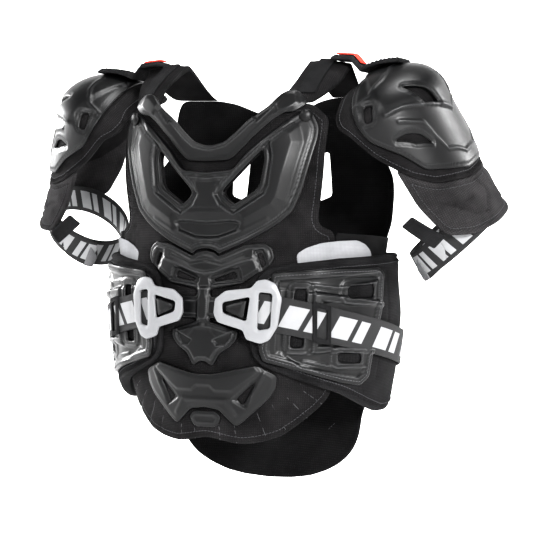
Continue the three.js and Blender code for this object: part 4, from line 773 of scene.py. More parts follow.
# Belly plate and the little hexagonal tab under it: moulded like the others and welded to the
# padded body, with two slanted vents and a raised brow across the plate.
BELLY_HALF = [
    (0, -363.8), (12, -363.8), (62, -352), (85, -365), (83, -380.2), (74, -393.3), (58, -407.8), (44, -420.9),
    (37, -425.7), (29, -418.8), (17.5, -406.4), (0, -403.6),
]
BELLY_VENT = [(60, -372.6), (46, -400.2), (38, -393.3)]


def belly_shape(p, d):
    """A raised brow, sunk vents and ribs beside them."""
    q = folded(p)
    h = 1.2 * np.clip(1 - (q[:, 0] / 85) ** 2, 0, 1) + 0.7 * smooth((d - 2) / 4)
    h += field(q, [(-5, -360), (14, -362), (60, -352), (66, -360), (34, -384), (14, -384), (8, -378),
                   (-5, -378)], 1.5, 3.0)
    h += field(q, [(63, -366), (49, -404), (33, -394)], -1.6, 2.4)
    h += line(q, [(0, -395), (26, -395), (36, -412)], 1.1, 2.4)
    h += line(q, [(70, -362), (62, -378), (50, -398)], 0.9, 2.2)
    return h


panel("belly_plate", mirrored(BELLY_HALF), on_torso, PLATE_INNER, PLATE_OUTER,
      holes=[BELLY_VENT, flipped(BELLY_VENT)], spacing=1.5, corner=4.0, rim=1.4,
      shape=belly_shape, nodes=["belly_plate"], material=moulded_shell)


def hex_shape(p, d):
    """A raised rim round a sunk face."""
    return 0.6 * smooth((d - 2) / 2) - 0.8 * smooth((d - 5) / 1.5)


panel("hex_tab", [(-13.3, -408.6), (-19.5, -415.3), (-16.4, -423.8), (-10.9, -427.6), (10.9, -427.6),
                  (16.4, -423.8), (19.5, -415.3), (13.3, -408.6)], on_torso, PLATE_INNER, 9.8, spacing=1.8,
      corner=3.0, rim=1.2, shape=hex_shape, nodes=["hex_tab"], material=moulded_shell)

# Side insets: small panels of white knitted cloth, stretched flat and sewn to the body above
# the belt, which hides their lower edges.
white_cloth = cloth_material("white_cloth", (0.15, 0.152, 0.157), (0.25, 0.252, 0.26), 1900.0, 0.4)
INSET = [(0.00, 0.93), (0.10, 0.52), (0.28, 0.17), (0.50, 0.03), (0.74, 0.00), (0.87, 0.31), (0.97, 0.83),
         (1.00, 1.50), (0.50, 1.70), (0.02, 1.70)]
inset_outline = [(105 + 98 * u, -207 - 17 * v) for u, v in INSET]
for side, label in SIDES:
    white = panel(f"side_inset_{label}", inset_outline, on_torso, 6.4, 7.9, spacing=3.0, corner=4.0, rim=0.7,
                  shape=lambda p, d: -0.3 * seam(d, 3.0, 0.8), nodes=[f"side_inset_{label}"],
                  material=white_cloth, side=side)

# Kidney belt: thick foam wings in spacer mesh, bound all round and stitched beside the binding.
# A moulded plate with three slots lies sunk in each wing and is sewn to it along its border.
def wing_top(p):
    """Height of the wing's face, which steps up where it leaves the chest."""
    return 14.4 + (19.4 - 14.4) * smooth((np.abs(p[:, 0]) - 95) / 35)


WING = [(0.032, 0.120), (0.077, 0.073), (0.151, 0.052), (0.344, 0.021), (0.540, 0.010), (0.690, 0.000),
        (0.870, 0.010), (0.975, 0.045), (1.000, 0.130), (1.000, 0.400), (0.985, 0.640), (0.920, 0.780),
        (0.810, 0.890), (0.690, 0.975), (0.620, 1.000), (0.540, 0.995), (0.460, 0.943), (0.351, 0.854),
        (0.193, 0.766), (0.050, 0.677), (0.010, 0.615), (0.000, 0.540), (0.000, 0.340), (0.010, 0.200)]
wing_outline = [(55 + 285 * u, -224 - 192 * v) for u, v in WING]
BELT_PLATE = [(0.10, 0.036), (0.31, 0.021), (0.61, 0.000), (0.93, 0.000), (1.00, 0.050), (0.99, 0.364),
              (0.91, 0.714), (0.87, 0.929), (0.78, 1.000), (0.62, 0.964), (0.31, 0.857), (0.03, 0.771),
              (0.00, 0.671)]
plate_outline = [(65 + 142 * u, -239 - 140 * v) for u, v in BELT_PLATE]


def wing_shape(p, d):
    """A bound edge, a stitched groove, the seat of the plate and a seam at the side."""
    h = -0.8 + 1.6 * smooth((d - 6.0) / 3.0) - 2.0 * seam(d, 6.4, 1.4)
    h += 1.0 * smooth((4.0 - np.abs(d - 2.8)) / 2.0) - 0.9 * seam(d, 13.0, 1.3)
    h -= 2.4 * smooth((8 - d) / 8) * smooth((np.abs(p[:, 0]) - 150) / 60)
    h -= field(p, plate_outline, 1.0, 3.0)
    h += line(p, [(216, -244), (222, -300), (204, -372)], -1.2, 1.8)
    h += puckers(p, 50, 0.8, 6) * smooth((d - 8) / 12)
    return h


belt_mesh = cloth_material("belt_mesh", (0.0035, 0.0035, 0.0037), (0.019, 0.0186, 0.0194), 1700.0, 0.7)
belt_shell = shell_material("belt_shell", (0.0025, 0.0025, 0.0027), (0.0068, 0.0069, 0.0072),
                            (0.14, 0.141, 0.145), 0.38, 1500.0)
PLATE_SLOTS = [
    [(104, -263), (116, -263), (112, -331), (99, -331)],
    [(160, -260), (193, -259), (193, -274), (160, -274)],
    [(150, -338), (178, -341), (178, -352), (150, -350)],
]
STRAP_FRAME = [(124, -266), (206, -281), (206, -287), (132, -277), (127, -329), (196, -336), (194, -342),
               (121, -337)]
TOP_BAND = [(86, -254), (199, -246), (199, -278), (140, -270), (86, -262)]
LOW_BAND = [(90, -338), (118, -340), (150, -334), (189, -338), (184, -364), (172, -369), (110, -354)]


def plate_shape(p, d):
    """A flat border round sunk bands, with a raised frame that guides the strap."""
    h = 0.4 - 1.5 * np.clip((d - 8.0) / 1.6, 0, 1)
    h += field(p, TOP_BAND, -1.9, 1.8) + field(p, LOW_BAND, -1.9, 1.8)
    h += field(p, STRAP_FRAME, 2.4, 1.8)
    h += field(p, [(88, -262), (124, -262), (119, -337), (84, -337)], -1.4, 3.0)
    h += line(p, [(122, -258), (152, -262), (196, -256)], 1.5, 1.3)
    h += line(p, [(112, -347), (150, -356), (184, -357)], 1.5, 1.3)
    for slot in PLATE_SLOTS:
        h += 0.9 * seam(path_distance(p, slot, closed=True), 1.6, 1.1)
    return h


belt_wings, belt_plates = [], []
for side, label in SIDES:
    wing = panel(f"belt_wing_{label}", wing_outline, on_torso, 6.8, wing_top, spacing=2.7, corner=8.0,
                 rim=4.0, shape=wing_shape, nodes=[f"belt_wing_{label}"], material=belt_mesh, side=side,
                 inner_rim=0.8)
    plate = panel(f"belt_plate_{label}", plate_outline, on_torso, lambda p: wing_top(p) + 0.2,
                  lambda p: wing_top(p) + 4.4, holes=PLATE_SLOTS, spacing=1.6, corner=4.0, rim=1.4,
                  shape=plate_shape, nodes=[f"belt_plate_{label}"], material=belt_shell,
                  side=side)
    belt_wings.append(wing)
    belt_plates.append(plate)

# Belt straps: flat elastic with plain slanted bars printed on it, held by a sewn keeper and
# threaded through the crossbar of a moulded hook buckle.
def printed_strap(name, ground, ink, pitch, filled, half_height, lean):
    """Webbing with slanted bars along its middle, in the strap's own map."""
    material, tree, shader = new_material(name)
    coords = put(tree, "ShaderNodeTexCoord")
    weave = put(tree, "ShaderNodeGroup", node_tree=mesh_weave, ins={
        "Vector": coords.outputs["UV"], "Threads": 2600.0})
    spot = put(tree, "ShaderNodeSeparateXYZ", ins={0: coords.outputs["UV"]})
    slant = calc(tree, "ADD", spot.outputs["X"], calc(tree, "MULTIPLY", spot.outputs["Y"], lean))
    phase = calc(tree, "FRACT", calc(tree, "DIVIDE", calc(tree, "ADD", slant, 1.0), pitch))
    wide = calc(tree, "LESS_THAN", phase, filled)
    from_gap = calc(tree, "ABSOLUTE", calc(tree, "SUBTRACT", phase, filled * 0.62))
    gap = calc(tree, "GREATER_THAN", from_gap, 0.05)
    tall = calc(tree, "LESS_THAN", calc(tree, "ABSOLUTE", spot.outputs["Y"]), half_height)
    mask = calc(tree, "MULTIPLY", calc(tree, "MULTIPLY", wide, gap), tall)
    cloudy = put(tree, "ShaderNodeGroup", node_tree=mottle, ins={
        "Vector": coords.outputs["Object"], "Scale": 60.0, "Amount": 0.8})
    cover = calc(tree, "ADD", calc(tree, "MULTIPLY", cloudy.outputs["Value"], 0.3), 0.8)
    inked = calc(tree, "MULTIPLY", mask, cover)
    dark = put(tree, "ShaderNodeMix", data_type="RGBA", ins={
        0: weave.outputs["Height"], 6: (*ground, 1), 7: tuple(3.2 * c for c in ground) + (1,)})
    colour = put(tree, "ShaderNodeMix", data_type="RGBA", ins={0: inked, 6: dark.outputs[2], 7: (*ink, 1)})
    tree.links.new(colour.outputs[2], shader.inputs["Base Color"])
    raised = put(tree, "ShaderNodeBump", ins={
        "Strength": 0.5, "Distance": 0.0004, "Height": weave.outputs["Height"]})
    tree.links.new(raised.outputs["Normal"], shader.inputs["Normal"])
    shader.inputs["Roughness"].default_value = 0.85
    return material


STRAP_BLACK, STRAP_WHITE, BAR_LEAN = (0.005, 0.005, 0.0053), (0.23, 0.232, 0.237), -0.45
belt_elastic = printed_strap("belt_elastic", STRAP_BLACK, STRAP_WHITE, 0.052, 0.72, 0.0135, BAR_LEAN)
buckle_white = shell_material("buckle_white", (0.15, 0.152, 0.157), (0.19, 0.192, 0.197),
                              (0.26, 0.26, 0.264), 0.34, 900.0)


STRAP_START, STRAP_END = 59, 300
BELT_STRAP_HALF = 21.5


def strap_centre(reach):
    """Height of the strap's middle line, which falls as it runs back from the buckle."""
    return -(288 + 68 * (np.maximum(reach - STRAP_START, 0) / (STRAP_END - STRAP_START)) ** 1.25)


def along_belt(side):
    """The strap's own flat map, along it and across it, laid round the torso."""
    def surface(u, v, out):
        reach = np.abs(u)
        return on_torso(side * reach, strap_centre(reach) + v, out)
    return surface


def strap_level(p):
    """Height of the strap's underside, just over the plate."""
    return wing_top(p) + 4.65


BUCKLE = [(0.77, 0.00), (0.91, 0.07), (1.00, 0.30), (0.94, 0.73), (0.82, 0.94), (0.69, 1.00), (0.48, 0.93),
          (0.44, 0.79), (0.06, 0.67), (0.00, 0.54), (0.02, 0.31), (0.18, 0.18), (0.55, 0.14), (0.64, 0.02)]
BUCKLE_EYE = [(0.54, 0.273), (0.13, 0.367), (0.14, 0.527), (0.49, 0.653)]
BUCKLE_SLOT = [(0.67, 0.20), (0.86, 0.22), (0.83, 0.76), (0.65, 0.79)]
buckle_outline, buckle_eye, buckle_slot = (
    [(18 + 72 * u, -251 - 75 * v) for u, v in rows] for rows in (BUCKLE, BUCKLE_EYE, BUCKLE_SLOT))


def buckle_shape(p, d):
    """A rounded face with a slight ridge over the crossbar."""
    return 0.7 * smooth((d - 1.2) / 3.5) - 0.4 + line(p, [(76, -262), (73, -312)], 0.5, 3.5)


def across_strap(near, far, half):
    """A rectangle on the strap's map, from one distance along it to another."""
    return [(near, -half), (near, half), (far, half), (far, -half)]


for side, label in SIDES:
    panel(f"belt_strap_{label}", across_strap(STRAP_START, STRAP_END, BELT_STRAP_HALF), along_belt(side),
          lambda p: strap_level(p) - 0.3, lambda p: strap_level(p) + 1.9, spacing=2.6, corner=1.5, rim=0.7,
          shape=lambda p, d: -0.3 * seam(d, 2.6, 0.6), nodes=[f"belt_strap_{label}"], material=belt_elastic)
    panel(f"strap_keeper_{label}", across_strap(121, 140, BELT_STRAP_HALF + 2), along_belt(side),
          lambda p: strap_level(p) + 2.2, lambda p: strap_level(p) + 4.6,
          holes=[across_strap(125.5, 135.5, BELT_STRAP_HALF - 4)], spacing=1.6, corner=1.5, rim=0.9,
          nodes=[f"strap_keeper_{label}"], material=webbing_cloth)
    panel(f"buckle_{label}", buckle_outline, on_torso, 22.4, 26.6, holes=[buckle_eye, buckle_slot],
          spacing=1.8, corner=3.0, rim=1.2, shape=buckle_shape, nodes=[f"buckle_{label}"],
          material=buckle_white,
          side=side)

# Shoulder cups: a moulded shell on a foam pad, bound at its edge, hung from the yoke by the link
# strap. Their flat map runs outward and backward from the top of the shoulder.
ARM_CENTRE = np.array([180.7, -5.8, -55.9])
ARM_DOWN = np.array([0.437, 0.36, -1.0])
ARM_DOWN /= np.linalg.norm(ARM_DOWN)
ARM_OUT = np.array([1.0, 0, 0]) - ARM_DOWN * ARM_DOWN[0]
ARM_OUT /= np.linalg.norm(ARM_OUT)
ARM_FORWARD = np.cross(ARM_OUT, ARM_DOWN)
ARM_FORWARD *= -np.sign(ARM_FORWARD[1])
ARM_HALF_WIDTH, ARM_HALF_DEPTH, DOME_RISE = 71.5, 79.4, 42
DOME_ARC = (ARM_HALF_DEPTH + DOME_RISE) / 2
POLE_REACH = DOME_ARC * np.pi / 2
FLAP_LENGTH = 171.0
CUP_LENGTH = 196


def on_arm(side, turn, down, out):
    """Points on the arm: turn round it from the outer side backwards, down it from the joint."""
    turn, down = np.asarray(turn, float), np.asarray(down, float)
    dome = np.maximum(0, -down) / DOME_ARC
    along = np.where(down >= 0, down, -(DOME_RISE + out) * np.sin(dome))
    spread = np.cos(dome)
    points = (ARM_CENTRE + along[:, None] * ARM_DOWN
              + (np.cos(turn) * (ARM_HALF_WIDTH + out) * spread)[:, None] * ARM_OUT
              - (np.sin(turn) * (ARM_HALF_DEPTH + out) * spread)[:, None] * ARM_FORWARD)
    points[:, 0] *= side
    return points


def over_cup(side):
    """The cup's flat map, whose middle is the top of the arm's dome."""
    return lambda u, v, out: on_arm(side, np.arctan2(v, u), np.hypot(u, v) - POLE_REACH, out)


def round_arm(side):
    """The flap's flat map, round the arm and down it, which flares towards its hem."""
    def surface(u, v, out):
        return on_arm(side, u / ARM_HALF_WIDTH, v, out + 7 * np.maximum(0, v / FLAP_LENGTH) ** 2)
    return surface


def polar(rows):
    """Flat points from turns in degrees and reaches from the top of the dome."""
    return [(np.cos(np.radians(t)) * r, np.sin(np.radians(t)) * r) for t, r in rows]


def both_turns(rows):
    """The rows and their mirror, with the reach filled in every three degrees between them."""
    turns = np.arange(rows[0][0], -rows[0][0] + 0.1, 3.0)
    return [(t, float(np.interp(-abs(t), [row[0] for row in rows], [row[1] for row in rows]))) for t in turns]


CUP = [(t, CUP_LENGTH * r) for t, r in [
    (-97, 0.17), (-92, 0.33), (-90, 0.47), (-86, 0.55), (-76, 0.63), (-66, 0.71), (-54, 0.85), (-34, 0.92),
    (-15, 0.98)]]
PAD = [(t, CUP_LENGTH * r) for t, r in [
    (-130, 0.23), (-124, 0.31), (-114, 0.40), (-105, 0.46), (-97, 0.57), (-90, 0.66), (-79, 0.76),
    (-66, 0.87), (-50, 0.96), (-34, 1.00), (-15, 1.04)]]
CUP_SLOTS = [
    [(-79, 0.31), (-83, 0.43), (-76, 0.44), (-70, 0.33)],
    [(-66, 0.61), (-54, 0.61), (-44, 0.65), (-38, 0.73), (-51, 0.68)],
    [(-36, 0.32), (-18, 0.42), (-13, 0.55), (-28, 0.50)],
]
front_slots = [polar([(t, CUP_LENGTH * r) for t, r in rows]) for rows in CUP_SLOTS]
slots = front_slots + [[(u, -v) for u, v in reversed(slot)] for slot in front_slots]


def cup_path(rows):
    """A line on the cup from turns in degrees and distances down from the joint."""
    return polar([(t, m + POLE_REACH) for t, m in rows])


BROW = cup_path([(-63, -9), (-50, -8), (-34, 2), (-18, 12), (0, 28), (15, 24)])
STEP = cup_path([(-56, 6), (-46, 14), (-37, 22), (-33, 44), (-28, 64), (-10, 78), (12, 84)])


def cup_shape(p, d):
    """A raised brow and step over the shoulder, sunk slots and a border groove."""
    q = np.stack([p[:, 0], -np.abs(p[:, 1])], 1)
    brow = path_distance(q, BROW)
    reach = np.hypot(q[:, 0], q[:, 1])
    turn = np.degrees(np.arctan2(q[:, 1], q[:, 0]))
    crest = np.interp(turn, [-63, -50, -34, -18, 0], [86, 87, 97, 107, 123])
    h = 1.6 * seam(brow, 0, 2.2)
    h += 2.2 * np.clip((crest - reach) / 7 + 0.5, 0, 1) * smooth((turn + 72) / 12)
    h += 1.5 * seam(path_distance(q, STEP), 0, 2.2) + 1.0 * np.clip((d - 3.5) / 2, 0, 1) - 0.9
    for slot in front_slots:
        h += field(q, slot, -1.3, 5.0)
    h += line(q, cup_path([(-90, -40), (-70, -46), (-44, -58), (-20, -66), (0, -70)]), 1.2, 1.8)
    h -= 0.8 * seam(d, 5.2, 0.8)
    return h


cup_shell = shell_material("cup_shell", (0.0028, 0.0028, 0.003), (0.007, 0.0071, 0.0074),
                           (0.13, 0.131, 0.135), 0.40, 1200.0)
pads = []


def pad_shape(p, d):
    """A bound edge, a groove and a low roll beside it."""
    return (1.6 * smooth((3.4 - np.abs(d - 2.6)) / 2.2) - 1.4 * seam(d, 6.2, 1.1)
            + 0.9 * smooth((d - 6.5) / 2) * smooth((14 - d) / 4))


for side, label in SIDES:
    panel(f"shoulder_shell_{label}", polar(both_turns(CUP)), over_cup(side), 3.0, 6.9, holes=slots,
          spacing=1.9, corner=10.0, rim=1.6, shape=cup_shape, nodes=[f"shoulder_shell_{label}"],
          material=cup_shell)
    pad = panel(f"shoulder_pad_{label}", polar(both_turns(PAD)), over_cup(side), -7.0, 1.6, spacing=3.4,
                corner=10.0, rim=3.4, shape=pad_shape, nodes=[f"shoulder_pad_{label}"], material=spacer_mesh,
                inner_rim=0.2)
    pads.append(pad)

# Arm flaps: softer mesh pads that hang from the cups, darted to bend round the arm. They are
# bound at their edges and sewn to the lower edge of the cup's pad.
flap_mesh = cloth_material("flap_mesh", (0.009, 0.0086, 0.009), (0.040, 0.0385, 0.0395), 1300.0, 0.8)


def turned(rows, scale=1):
    """Points of the arm's flat map from turns in degrees and distances down it."""
    return [(np.radians(t) * ARM_HALF_WIDTH, scale * m) for t, m in rows]


flap_rows = turned([(t, r - POLE_REACH - 0.8) for t, r in PAD if t > -80])
flap_half = flap_rows[::-1] + turned([(-76, 106.0), (-65.4, 150.5), (-41.8, 165.9), (-15.2, FLAP_LENGTH)])
flap_outline = flap_half + flipped(flap_half)
flaps = []


def flap_shape(p, d):
    """A bound edge, a crown and sewn darts."""
    q = np.stack([-np.abs(p[:, 0]), p[:, 1]], 1)
    h = -0.9 + 1.8 * smooth((3.6 - np.abs(d - 2.8)) / 2.0) + 1.6 * smooth((d - 7) / 12)
    h -= 1.6 * seam(d, 6.4, 1.1) + 1.1 * seam(d, 13.0, 1.0)
    for dart in ([(-74, 112), (-58, 124), (-34, 128)], [(-58, 124), (-40, 146), (-24, 152)],
                 [(-14, 112), (-8, 132), (-24, 152)], [(-56, 132), (-46, 130)]):
        h += line(q, dart, -2.6, 2.2)
    h += puckers(p, 34, 0.35, 2) * smooth((d - 8) / 10)
    return h


for side, label in SIDES:
    flap = panel(f"arm_flap_{label}", flap_outline, round_arm(side), -6.9, -0.6, spacing=2.7, corner=10.0,
                 rim=2.6, shape=flap_shape, nodes=[f"bicep_flap_{label}"], material=flap_mesh, inner_rim=0.2)
    flaps.append(flap)

# Arm straps: elastic loops with the same printed bars, sewn to the flaps. Each has a folded
# loose end, grey on its reverse, and a flat keeper on the flap's edge.
arm_elastic = printed_strap("arm_elastic", STRAP_BLACK, STRAP_WHITE, 0.044, 0.74, 0.0125, BAR_LEAN)
grey_elastic = cloth_material("grey_elastic", (0.05, 0.05, 0.052), (0.18, 0.18, 0.185), 2400.0, 0.5)
STRAP_SHIFT = 18
STRAP_INSET = STRAP_SHIFT + 7 + 0.3 - 7 * 0.6
STRAP_HALF_WIDTH = 18.5
LOOP_STEPS = 144
LOOP_PROFILE = [(-18.3, -0.5), (-17.9, -0.1), (-15.0, 0.0), (0.0, 0.0), (15.0, 0.0), (17.9, -0.1),
                (18.3, -0.5), (18.3, -1.6), (17.9, -1.9), (0.0, -1.9), (-17.9, -1.9), (-18.3, -1.6)]


def round_strap(side):
    """Points on the strap's loop, which hangs towards the chest a little more on one arm."""
    def surface(u, v, out):
        turn = u / ARM_HALF_WIDTH
        points = on_arm(side, turn, 165 - 14 * np.cos(turn) + v, out - STRAP_INSET)
        slack = (1 - np.cos(turn))[:, None] * (10.0 if side > 0 else 1.5)
        return points + (ARM_OUT * STRAP_SHIFT - slack * (ARM_OUT - 0.3 * ARM_DOWN)) * np.array([side, 1, 1])
    return surface


for side, label in SIDES:
    turns = np.linspace(0, 2 * np.pi * ARM_HALF_WIDTH, LOOP_STEPS + 1)[:-1]
    rings = [round_strap(side)(turns, np.full(LOOP_STEPS, v), h) for v, h in LOOP_PROFILE]
    wide = len(LOOP_PROFILE)
    uv = np.stack([np.repeat(turns, wide), np.tile([v for v, _ in LOOP_PROFILE], LOOP_STEPS)], 1)
    faces = []
    for i in range(LOOP_STEPS):
        for j in range(wide):
            a, b = i * wide + j, i * wide + (j + 1) % wide
            c, e = ((i + 1) % LOOP_STEPS) * wide + j, ((i + 1) % LOOP_STEPS) * wide + (j + 1) % wide
            faces += [(a, b, e), (a, e, c)]
    loop = to_mesh(f"arm_strap_{label}", np.stack(rings, 1).reshape(-1, 3), np.array(faces), uv)
    loop.data.materials.append(arm_elastic)
    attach(loop, "root")
    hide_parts(f"arm_strap_{label}")
    end_outline = turned([(-86, -1.05), (-84, 0.10), (-90, 0.92), (-122, 1.12), (-136, 0.20), (-132, -0.90)],
                         STRAP_HALF_WIDTH)
    panel(f"arm_strap_end_{label}", end_outline, round_strap(side), 0.3, 2.6, spacing=2.4, corner=3.0,
          rim=0.8, nodes=[f"arm_strap_end_{label}"], material=arm_elastic)
    fold_outline = turned([(-124, -0.5), (-119, 1.1), (-131, 1.1), (-136, 0.2)], STRAP_HALF_WIDTH)
    panel(f"arm_strap_fold_{label}", fold_outline, round_strap(side), 2.7, 4.2, spacing=2.0, corner=2.0,
          rim=0.6, nodes=[f"arm_strap_end_{label}"], material=grey_elastic)
    slider_outline = turned([(-97, 118), (-84, 112), (-66, 150), (-79, 157)])
    panel(f"arm_strap_slider_{label}", slider_outline, round_arm(side), 0.9, 3.4, spacing=1.8, corner=2.0,
          rim=0.9, shape=lambda p, d: -0.9 * smooth((d - 3.2) / 1.2), nodes=[f"arm_strap_slider_{label}"],
          material=webbing_cloth)

# Stitching: rows of short stitches in bonded thread beside the bindings of the bodies, the belt,
# the pads and the flaps, round the belt plates, and along the quilting of the hem and the back.
stitch_tree = bpy.data.node_groups.new("stitch_row", "GeometryNodeTree")
for label, kind in (("Geometry", "NodeSocketGeometry"), ("Pitch", "NodeSocketFloat"),
                    ("Stitch Length", "NodeSocketFloat"), ("Thread Radius", "NodeSocketFloat"),
                    ("Thread", "NodeSocketMaterial")):
    stitch_tree.interface.new_socket(label, in_out="INPUT", socket_type=kind)
stitch_tree.interface.new_socket("Geometry", in_out="OUTPUT", socket_type="NodeSocketGeometry")
entry = stitch_tree.nodes.new("NodeGroupInput")
leave = stitch_tree.nodes.new("NodeGroupOutput")
curve = put(stitch_tree, "GeometryNodeMeshToCurve", ins={"Mesh": entry.outputs["Geometry"]})
even = put(stitch_tree, "GeometryNodeResampleCurve", mode="LENGTH", ins={
    "Curve": curve.outputs["Curve"], "Length": entry.outputs["Pitch"]})
bead = put(stitch_tree, "GeometryNodeMeshCylinder", ins={
    "Vertices": 6, "Side Segments": 1, "Radius": entry.outputs["Thread Radius"],
    "Depth": entry.outputs["Stitch Length"]})
tangent = put(stitch_tree, "GeometryNodeInputTangent")
facing = put(stitch_tree, "FunctionNodeAlignRotationToVector", axis="Z", ins={"Vector": tangent.outputs[0]})
placed = put(stitch_tree, "GeometryNodeInstanceOnPoints", ins={
    "Points": even.outputs["Curve"], "Instance": bead.outputs["Mesh"], "Rotation": facing.outputs[0]})
real = put(stitch_tree, "GeometryNodeRealizeInstances", ins={"Geometry": placed.outputs["Instances"]})
dressed = put(stitch_tree, "GeometryNodeSetMaterial", ins={
    "Geometry": real.outputs["Geometry"], "Material": entry.outputs["Thread"]})
stitch_tree.links.new(dressed.outputs["Geometry"], leave.inputs["Geometry"])
stitch_inputs = {item.name: item.identifier for item in stitch_tree.interface.items_tree
                 if item.in_out == "INPUT"}
black_thread = cloth_material("black_thread", (0.03, 0.03, 0.032), (0.12, 0.12, 0.125), 4000.0, 0.2)


STITCH_LIFT = 0.15


def edge_run(piece, depth):
    """The points of a seam that runs inside a panel's edge, as pieces of unbroken line."""
    flat = inset(piece["loops"][0], piece["loops"], depth, piece["solid"])
    points = piece["surface"](flat[:, 0] * piece["side"], flat[:, 1], piece["height"](flat) + STITCH_LIFT)
    step = np.linalg.norm(np.roll(flat, -1, axis=0) - flat, axis=1)
    return points, [(i, (i + 1) % len(flat)) for i in range(len(flat)) if step[i] < 9]


def sew(name, runs, thread, pitch=0.0042, length=0.0030, radius=0.0004):
    """Short stitches of thread along runs of points, as one mesh."""
    points, edges, start = [], [], 0
    for run_points, run_edges in runs:
        points += (run_points * MM).tolist()
        edges += [(a + start, b + start) for a, b in run_edges]
        start += len(run_points)
    guide_mesh = bpy.data.meshes.new(name + "_guide")
    guide_mesh.from_pydata(points, edges, [])
    guide = bpy.data.objects.new(name + "_guide", guide_mesh)
    bpy.context.scene.collection.objects.link(guide)
    modifier = guide.modifiers.new("stitches", "NODES")
    modifier.node_group = stitch_tree
    for label, value in (("Pitch", pitch), ("Stitch Length", length), ("Thread Radius", radius),
                         ("Thread", thread)):
        modifier[stitch_inputs[label]] = value
    evaluated = guide.evaluated_get(bpy.context.evaluated_depsgraph_get())
    mesh = bpy.data.meshes.new_from_object(evaluated)
    guide.modifiers.clear()
    bpy.data.objects.remove(guide)
    mesh.name = name
    obj = bpy.data.objects.new(name, mesh)
    bpy.context.scene.collection.objects.link(obj)
    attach(obj, "root")


def path_run(piece, path, mirror):
    """The points of a seam along a line of flat points on a panel."""
    path = np.asarray(path, float)
    walked = np.concatenate([[0], np.cumsum(np.linalg.norm(np.diff(path, axis=0), axis=1))])
    at = np.linspace(0, walked[-1], max(3, int(walked[-1] / 3)))
    flat = np.stack([np.interp(at, walked, path[:, 0]) * mirror, np.interp(at, walked, path[:, 1])], 1)
    points = piece["surface"](flat[:, 0], flat[:, 1], piece["height"](flat) + STITCH_LIFT)
    return points, [(i, i + 1) for i in range(len(flat) - 1)]


grey_thread = cloth_material("grey_thread", (0.05, 0.05, 0.052), (0.14, 0.14, 0.145), 4000.0, 0.2)
sew("hem_quilting", [path_run(vest_front, quilt, m) for quilt in HEM_QUILTS for m in (1, -1)],
    grey_thread, pitch=0.0024, length=0.0026, radius=0.00035)
sew("back_quilting", [path_run(vest_back, channel, m) for channel in BACK_CHANNELS for m in (1, -1)],
    black_thread, radius=0.0005)
sew("plate_stitching", [edge_run(plate, 4.2) for plate in belt_plates], grey_thread)
sew("belt_stitching", [edge_run(wing, 9.5) for wing in belt_wings], black_thread)
sew("cup_stitching", [edge_run(pad, 9.0) for pad in pads], black_thread)
sew("flap_stitching", [edge_run(flap, 8.0) for flap in flaps], black_thread)
sew("front_stitching", [edge_run(vest_front, 8.0), edge_run(vest_back, 8.5)], black_thread)

# Studio: a pale sweep of paper that glows most behind the guard, the camera at the photograph's
# place, and soft lights: one in front, one for the facets, one above and two from the sides.
SWEEP_PROFILE = [(2.6, -0.62), (3.6, -0.50), (4.3, -0.10), (4.6, 0.6), (4.6, 3.4)]
SWEEP_TURNS = 96
sweep_points, sweep_faces = [], []
for radius, height in SWEEP_PROFILE:
    sweep_points += [(np.cos(t) * radius, np.sin(t) * radius, height)
                     for t in np.linspace(0, 2 * np.pi, SWEEP_TURNS, endpoint=False)]
sweep_points.append((0, 0, SWEEP_PROFILE[0][1]))
for i in range(len(SWEEP_PROFILE) - 1):
    for j in range(SWEEP_TURNS):
        a, b = i * SWEEP_TURNS + j, i * SWEEP_TURNS + (j + 1) % SWEEP_TURNS
        sweep_faces.append((a, b, b + SWEEP_TURNS, a + SWEEP_TURNS))
sweep_faces += [(len(sweep_points) - 1, j, (j + 1) % SWEEP_TURNS) for j in range(SWEEP_TURNS)]
sweep_mesh = bpy.data.meshes.new("sweep")
sweep_mesh.from_pydata(sweep_points, [], sweep_faces)
sweep_mesh.shade_smooth()
sweep = bpy.data.objects.new("sweep", sweep_mesh)
bpy.context.scene.collection.objects.link(sweep)
paper, tree, shader = new_material("studio_paper")
shader.inputs["Base Color"].default_value = (0.8, 0.8, 0.8, 1)
shader.inputs["Roughness"].default_value = 0.9
shader.inputs["Emission Color"].default_value = (1, 1, 1, 1)
coords = put(tree, "ShaderNodeTexCoord")
behind = put(tree, "ShaderNodeVectorMath", operation="DOT_PRODUCT", ins={
    0: coords.outputs["Object"], 1: (-0.42, 0.91, 0.0)})
glow = put(tree, "ShaderNodeMapRange", interpolation_type="SMOOTHSTEP", ins={
    "Value": behind.outputs["Value"], "From Min": -1.6, "From Max": 0.6, "To Min": 0.14, "To Max": 0.85})
tree.links.new(glow.outputs["Result"], shader.inputs["Emission Strength"])
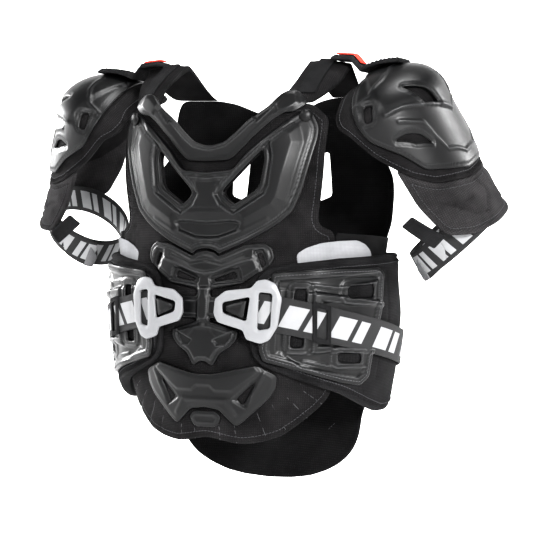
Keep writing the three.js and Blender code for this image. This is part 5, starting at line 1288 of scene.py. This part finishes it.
sweep.data.materials.append(paper)

AZIMUTH = np.radians(25)
DISTANCE, EYE_HEIGHT = 1.946, -0.15375
FOCAL = 1556.8  # in the photograph's pixels
FRAME = 540
CENTRE_X, CENTRE_Y = 249.8, 195  # where the camera's level line of sight meets the photograph
back = Vector((np.sin(AZIMUTH), -np.cos(AZIMUTH), 0))
right = Vector((np.cos(AZIMUTH), np.sin(AZIMUTH), 0))
camera_data = bpy.data.cameras.new("camera")
camera_data.sensor_width = 36
camera_data.lens = FOCAL / FRAME * 36
camera_data.clip_end = 50
camera = bpy.data.objects.new("camera", camera_data)
camera.location = back * DISTANCE + Vector((0, 0, EYE_HEIGHT))
aim = -back + right * ((FRAME / 2 - CENTRE_X) / FOCAL) + Vector((0, 0, -(FRAME / 2 - CENTRE_Y) / FOCAL))
camera.rotation_euler = aim.to_track_quat("-Z", "Y").to_euler()
bpy.context.scene.collection.objects.link(camera)
bpy.context.scene.camera = camera
bpy.context.scene.view_settings.view_transform = "Standard"
bpy.context.scene.view_settings.look = "High Contrast"
CHEST = Vector((0, 0, -0.25))


def soft_light(name, place, size, power):
    """A round area light turned towards the chest."""
    data = bpy.data.lights.new(name, "AREA")
    data.shape = "DISK"
    data.size = size
    data.energy = power
    light = bpy.data.objects.new(name, data)
    light.location = place
    light.rotation_euler = (CHEST - Vector(place)).to_track_quat("-Z", "Y").to_euler()
    bpy.context.scene.collection.objects.link(light)


soft_light("key_light", (-0.9, -2.3, 1.6), 0.5, 38)
soft_light("facet_light", (1.9, -1.85, 0.45), 0.4, 95)
soft_light("top_light", (0.3, 0.1, 2.3), 1.0, 50)
soft_light("rim_light_left", (-2.5, 0.3, 0.4), 0.8, 75)
soft_light("rim_light_right", (2.1, 1.5, 0.7), 0.8, 45)
world = bpy.data.worlds.new("studio")
bpy.context.scene.world = world
world.use_nodes = True
world.node_tree.nodes["Background"].inputs["Color"].default_value = (1, 1, 1, 1)
world.node_tree.nodes["Background"].inputs["Strength"].default_value = 0.12
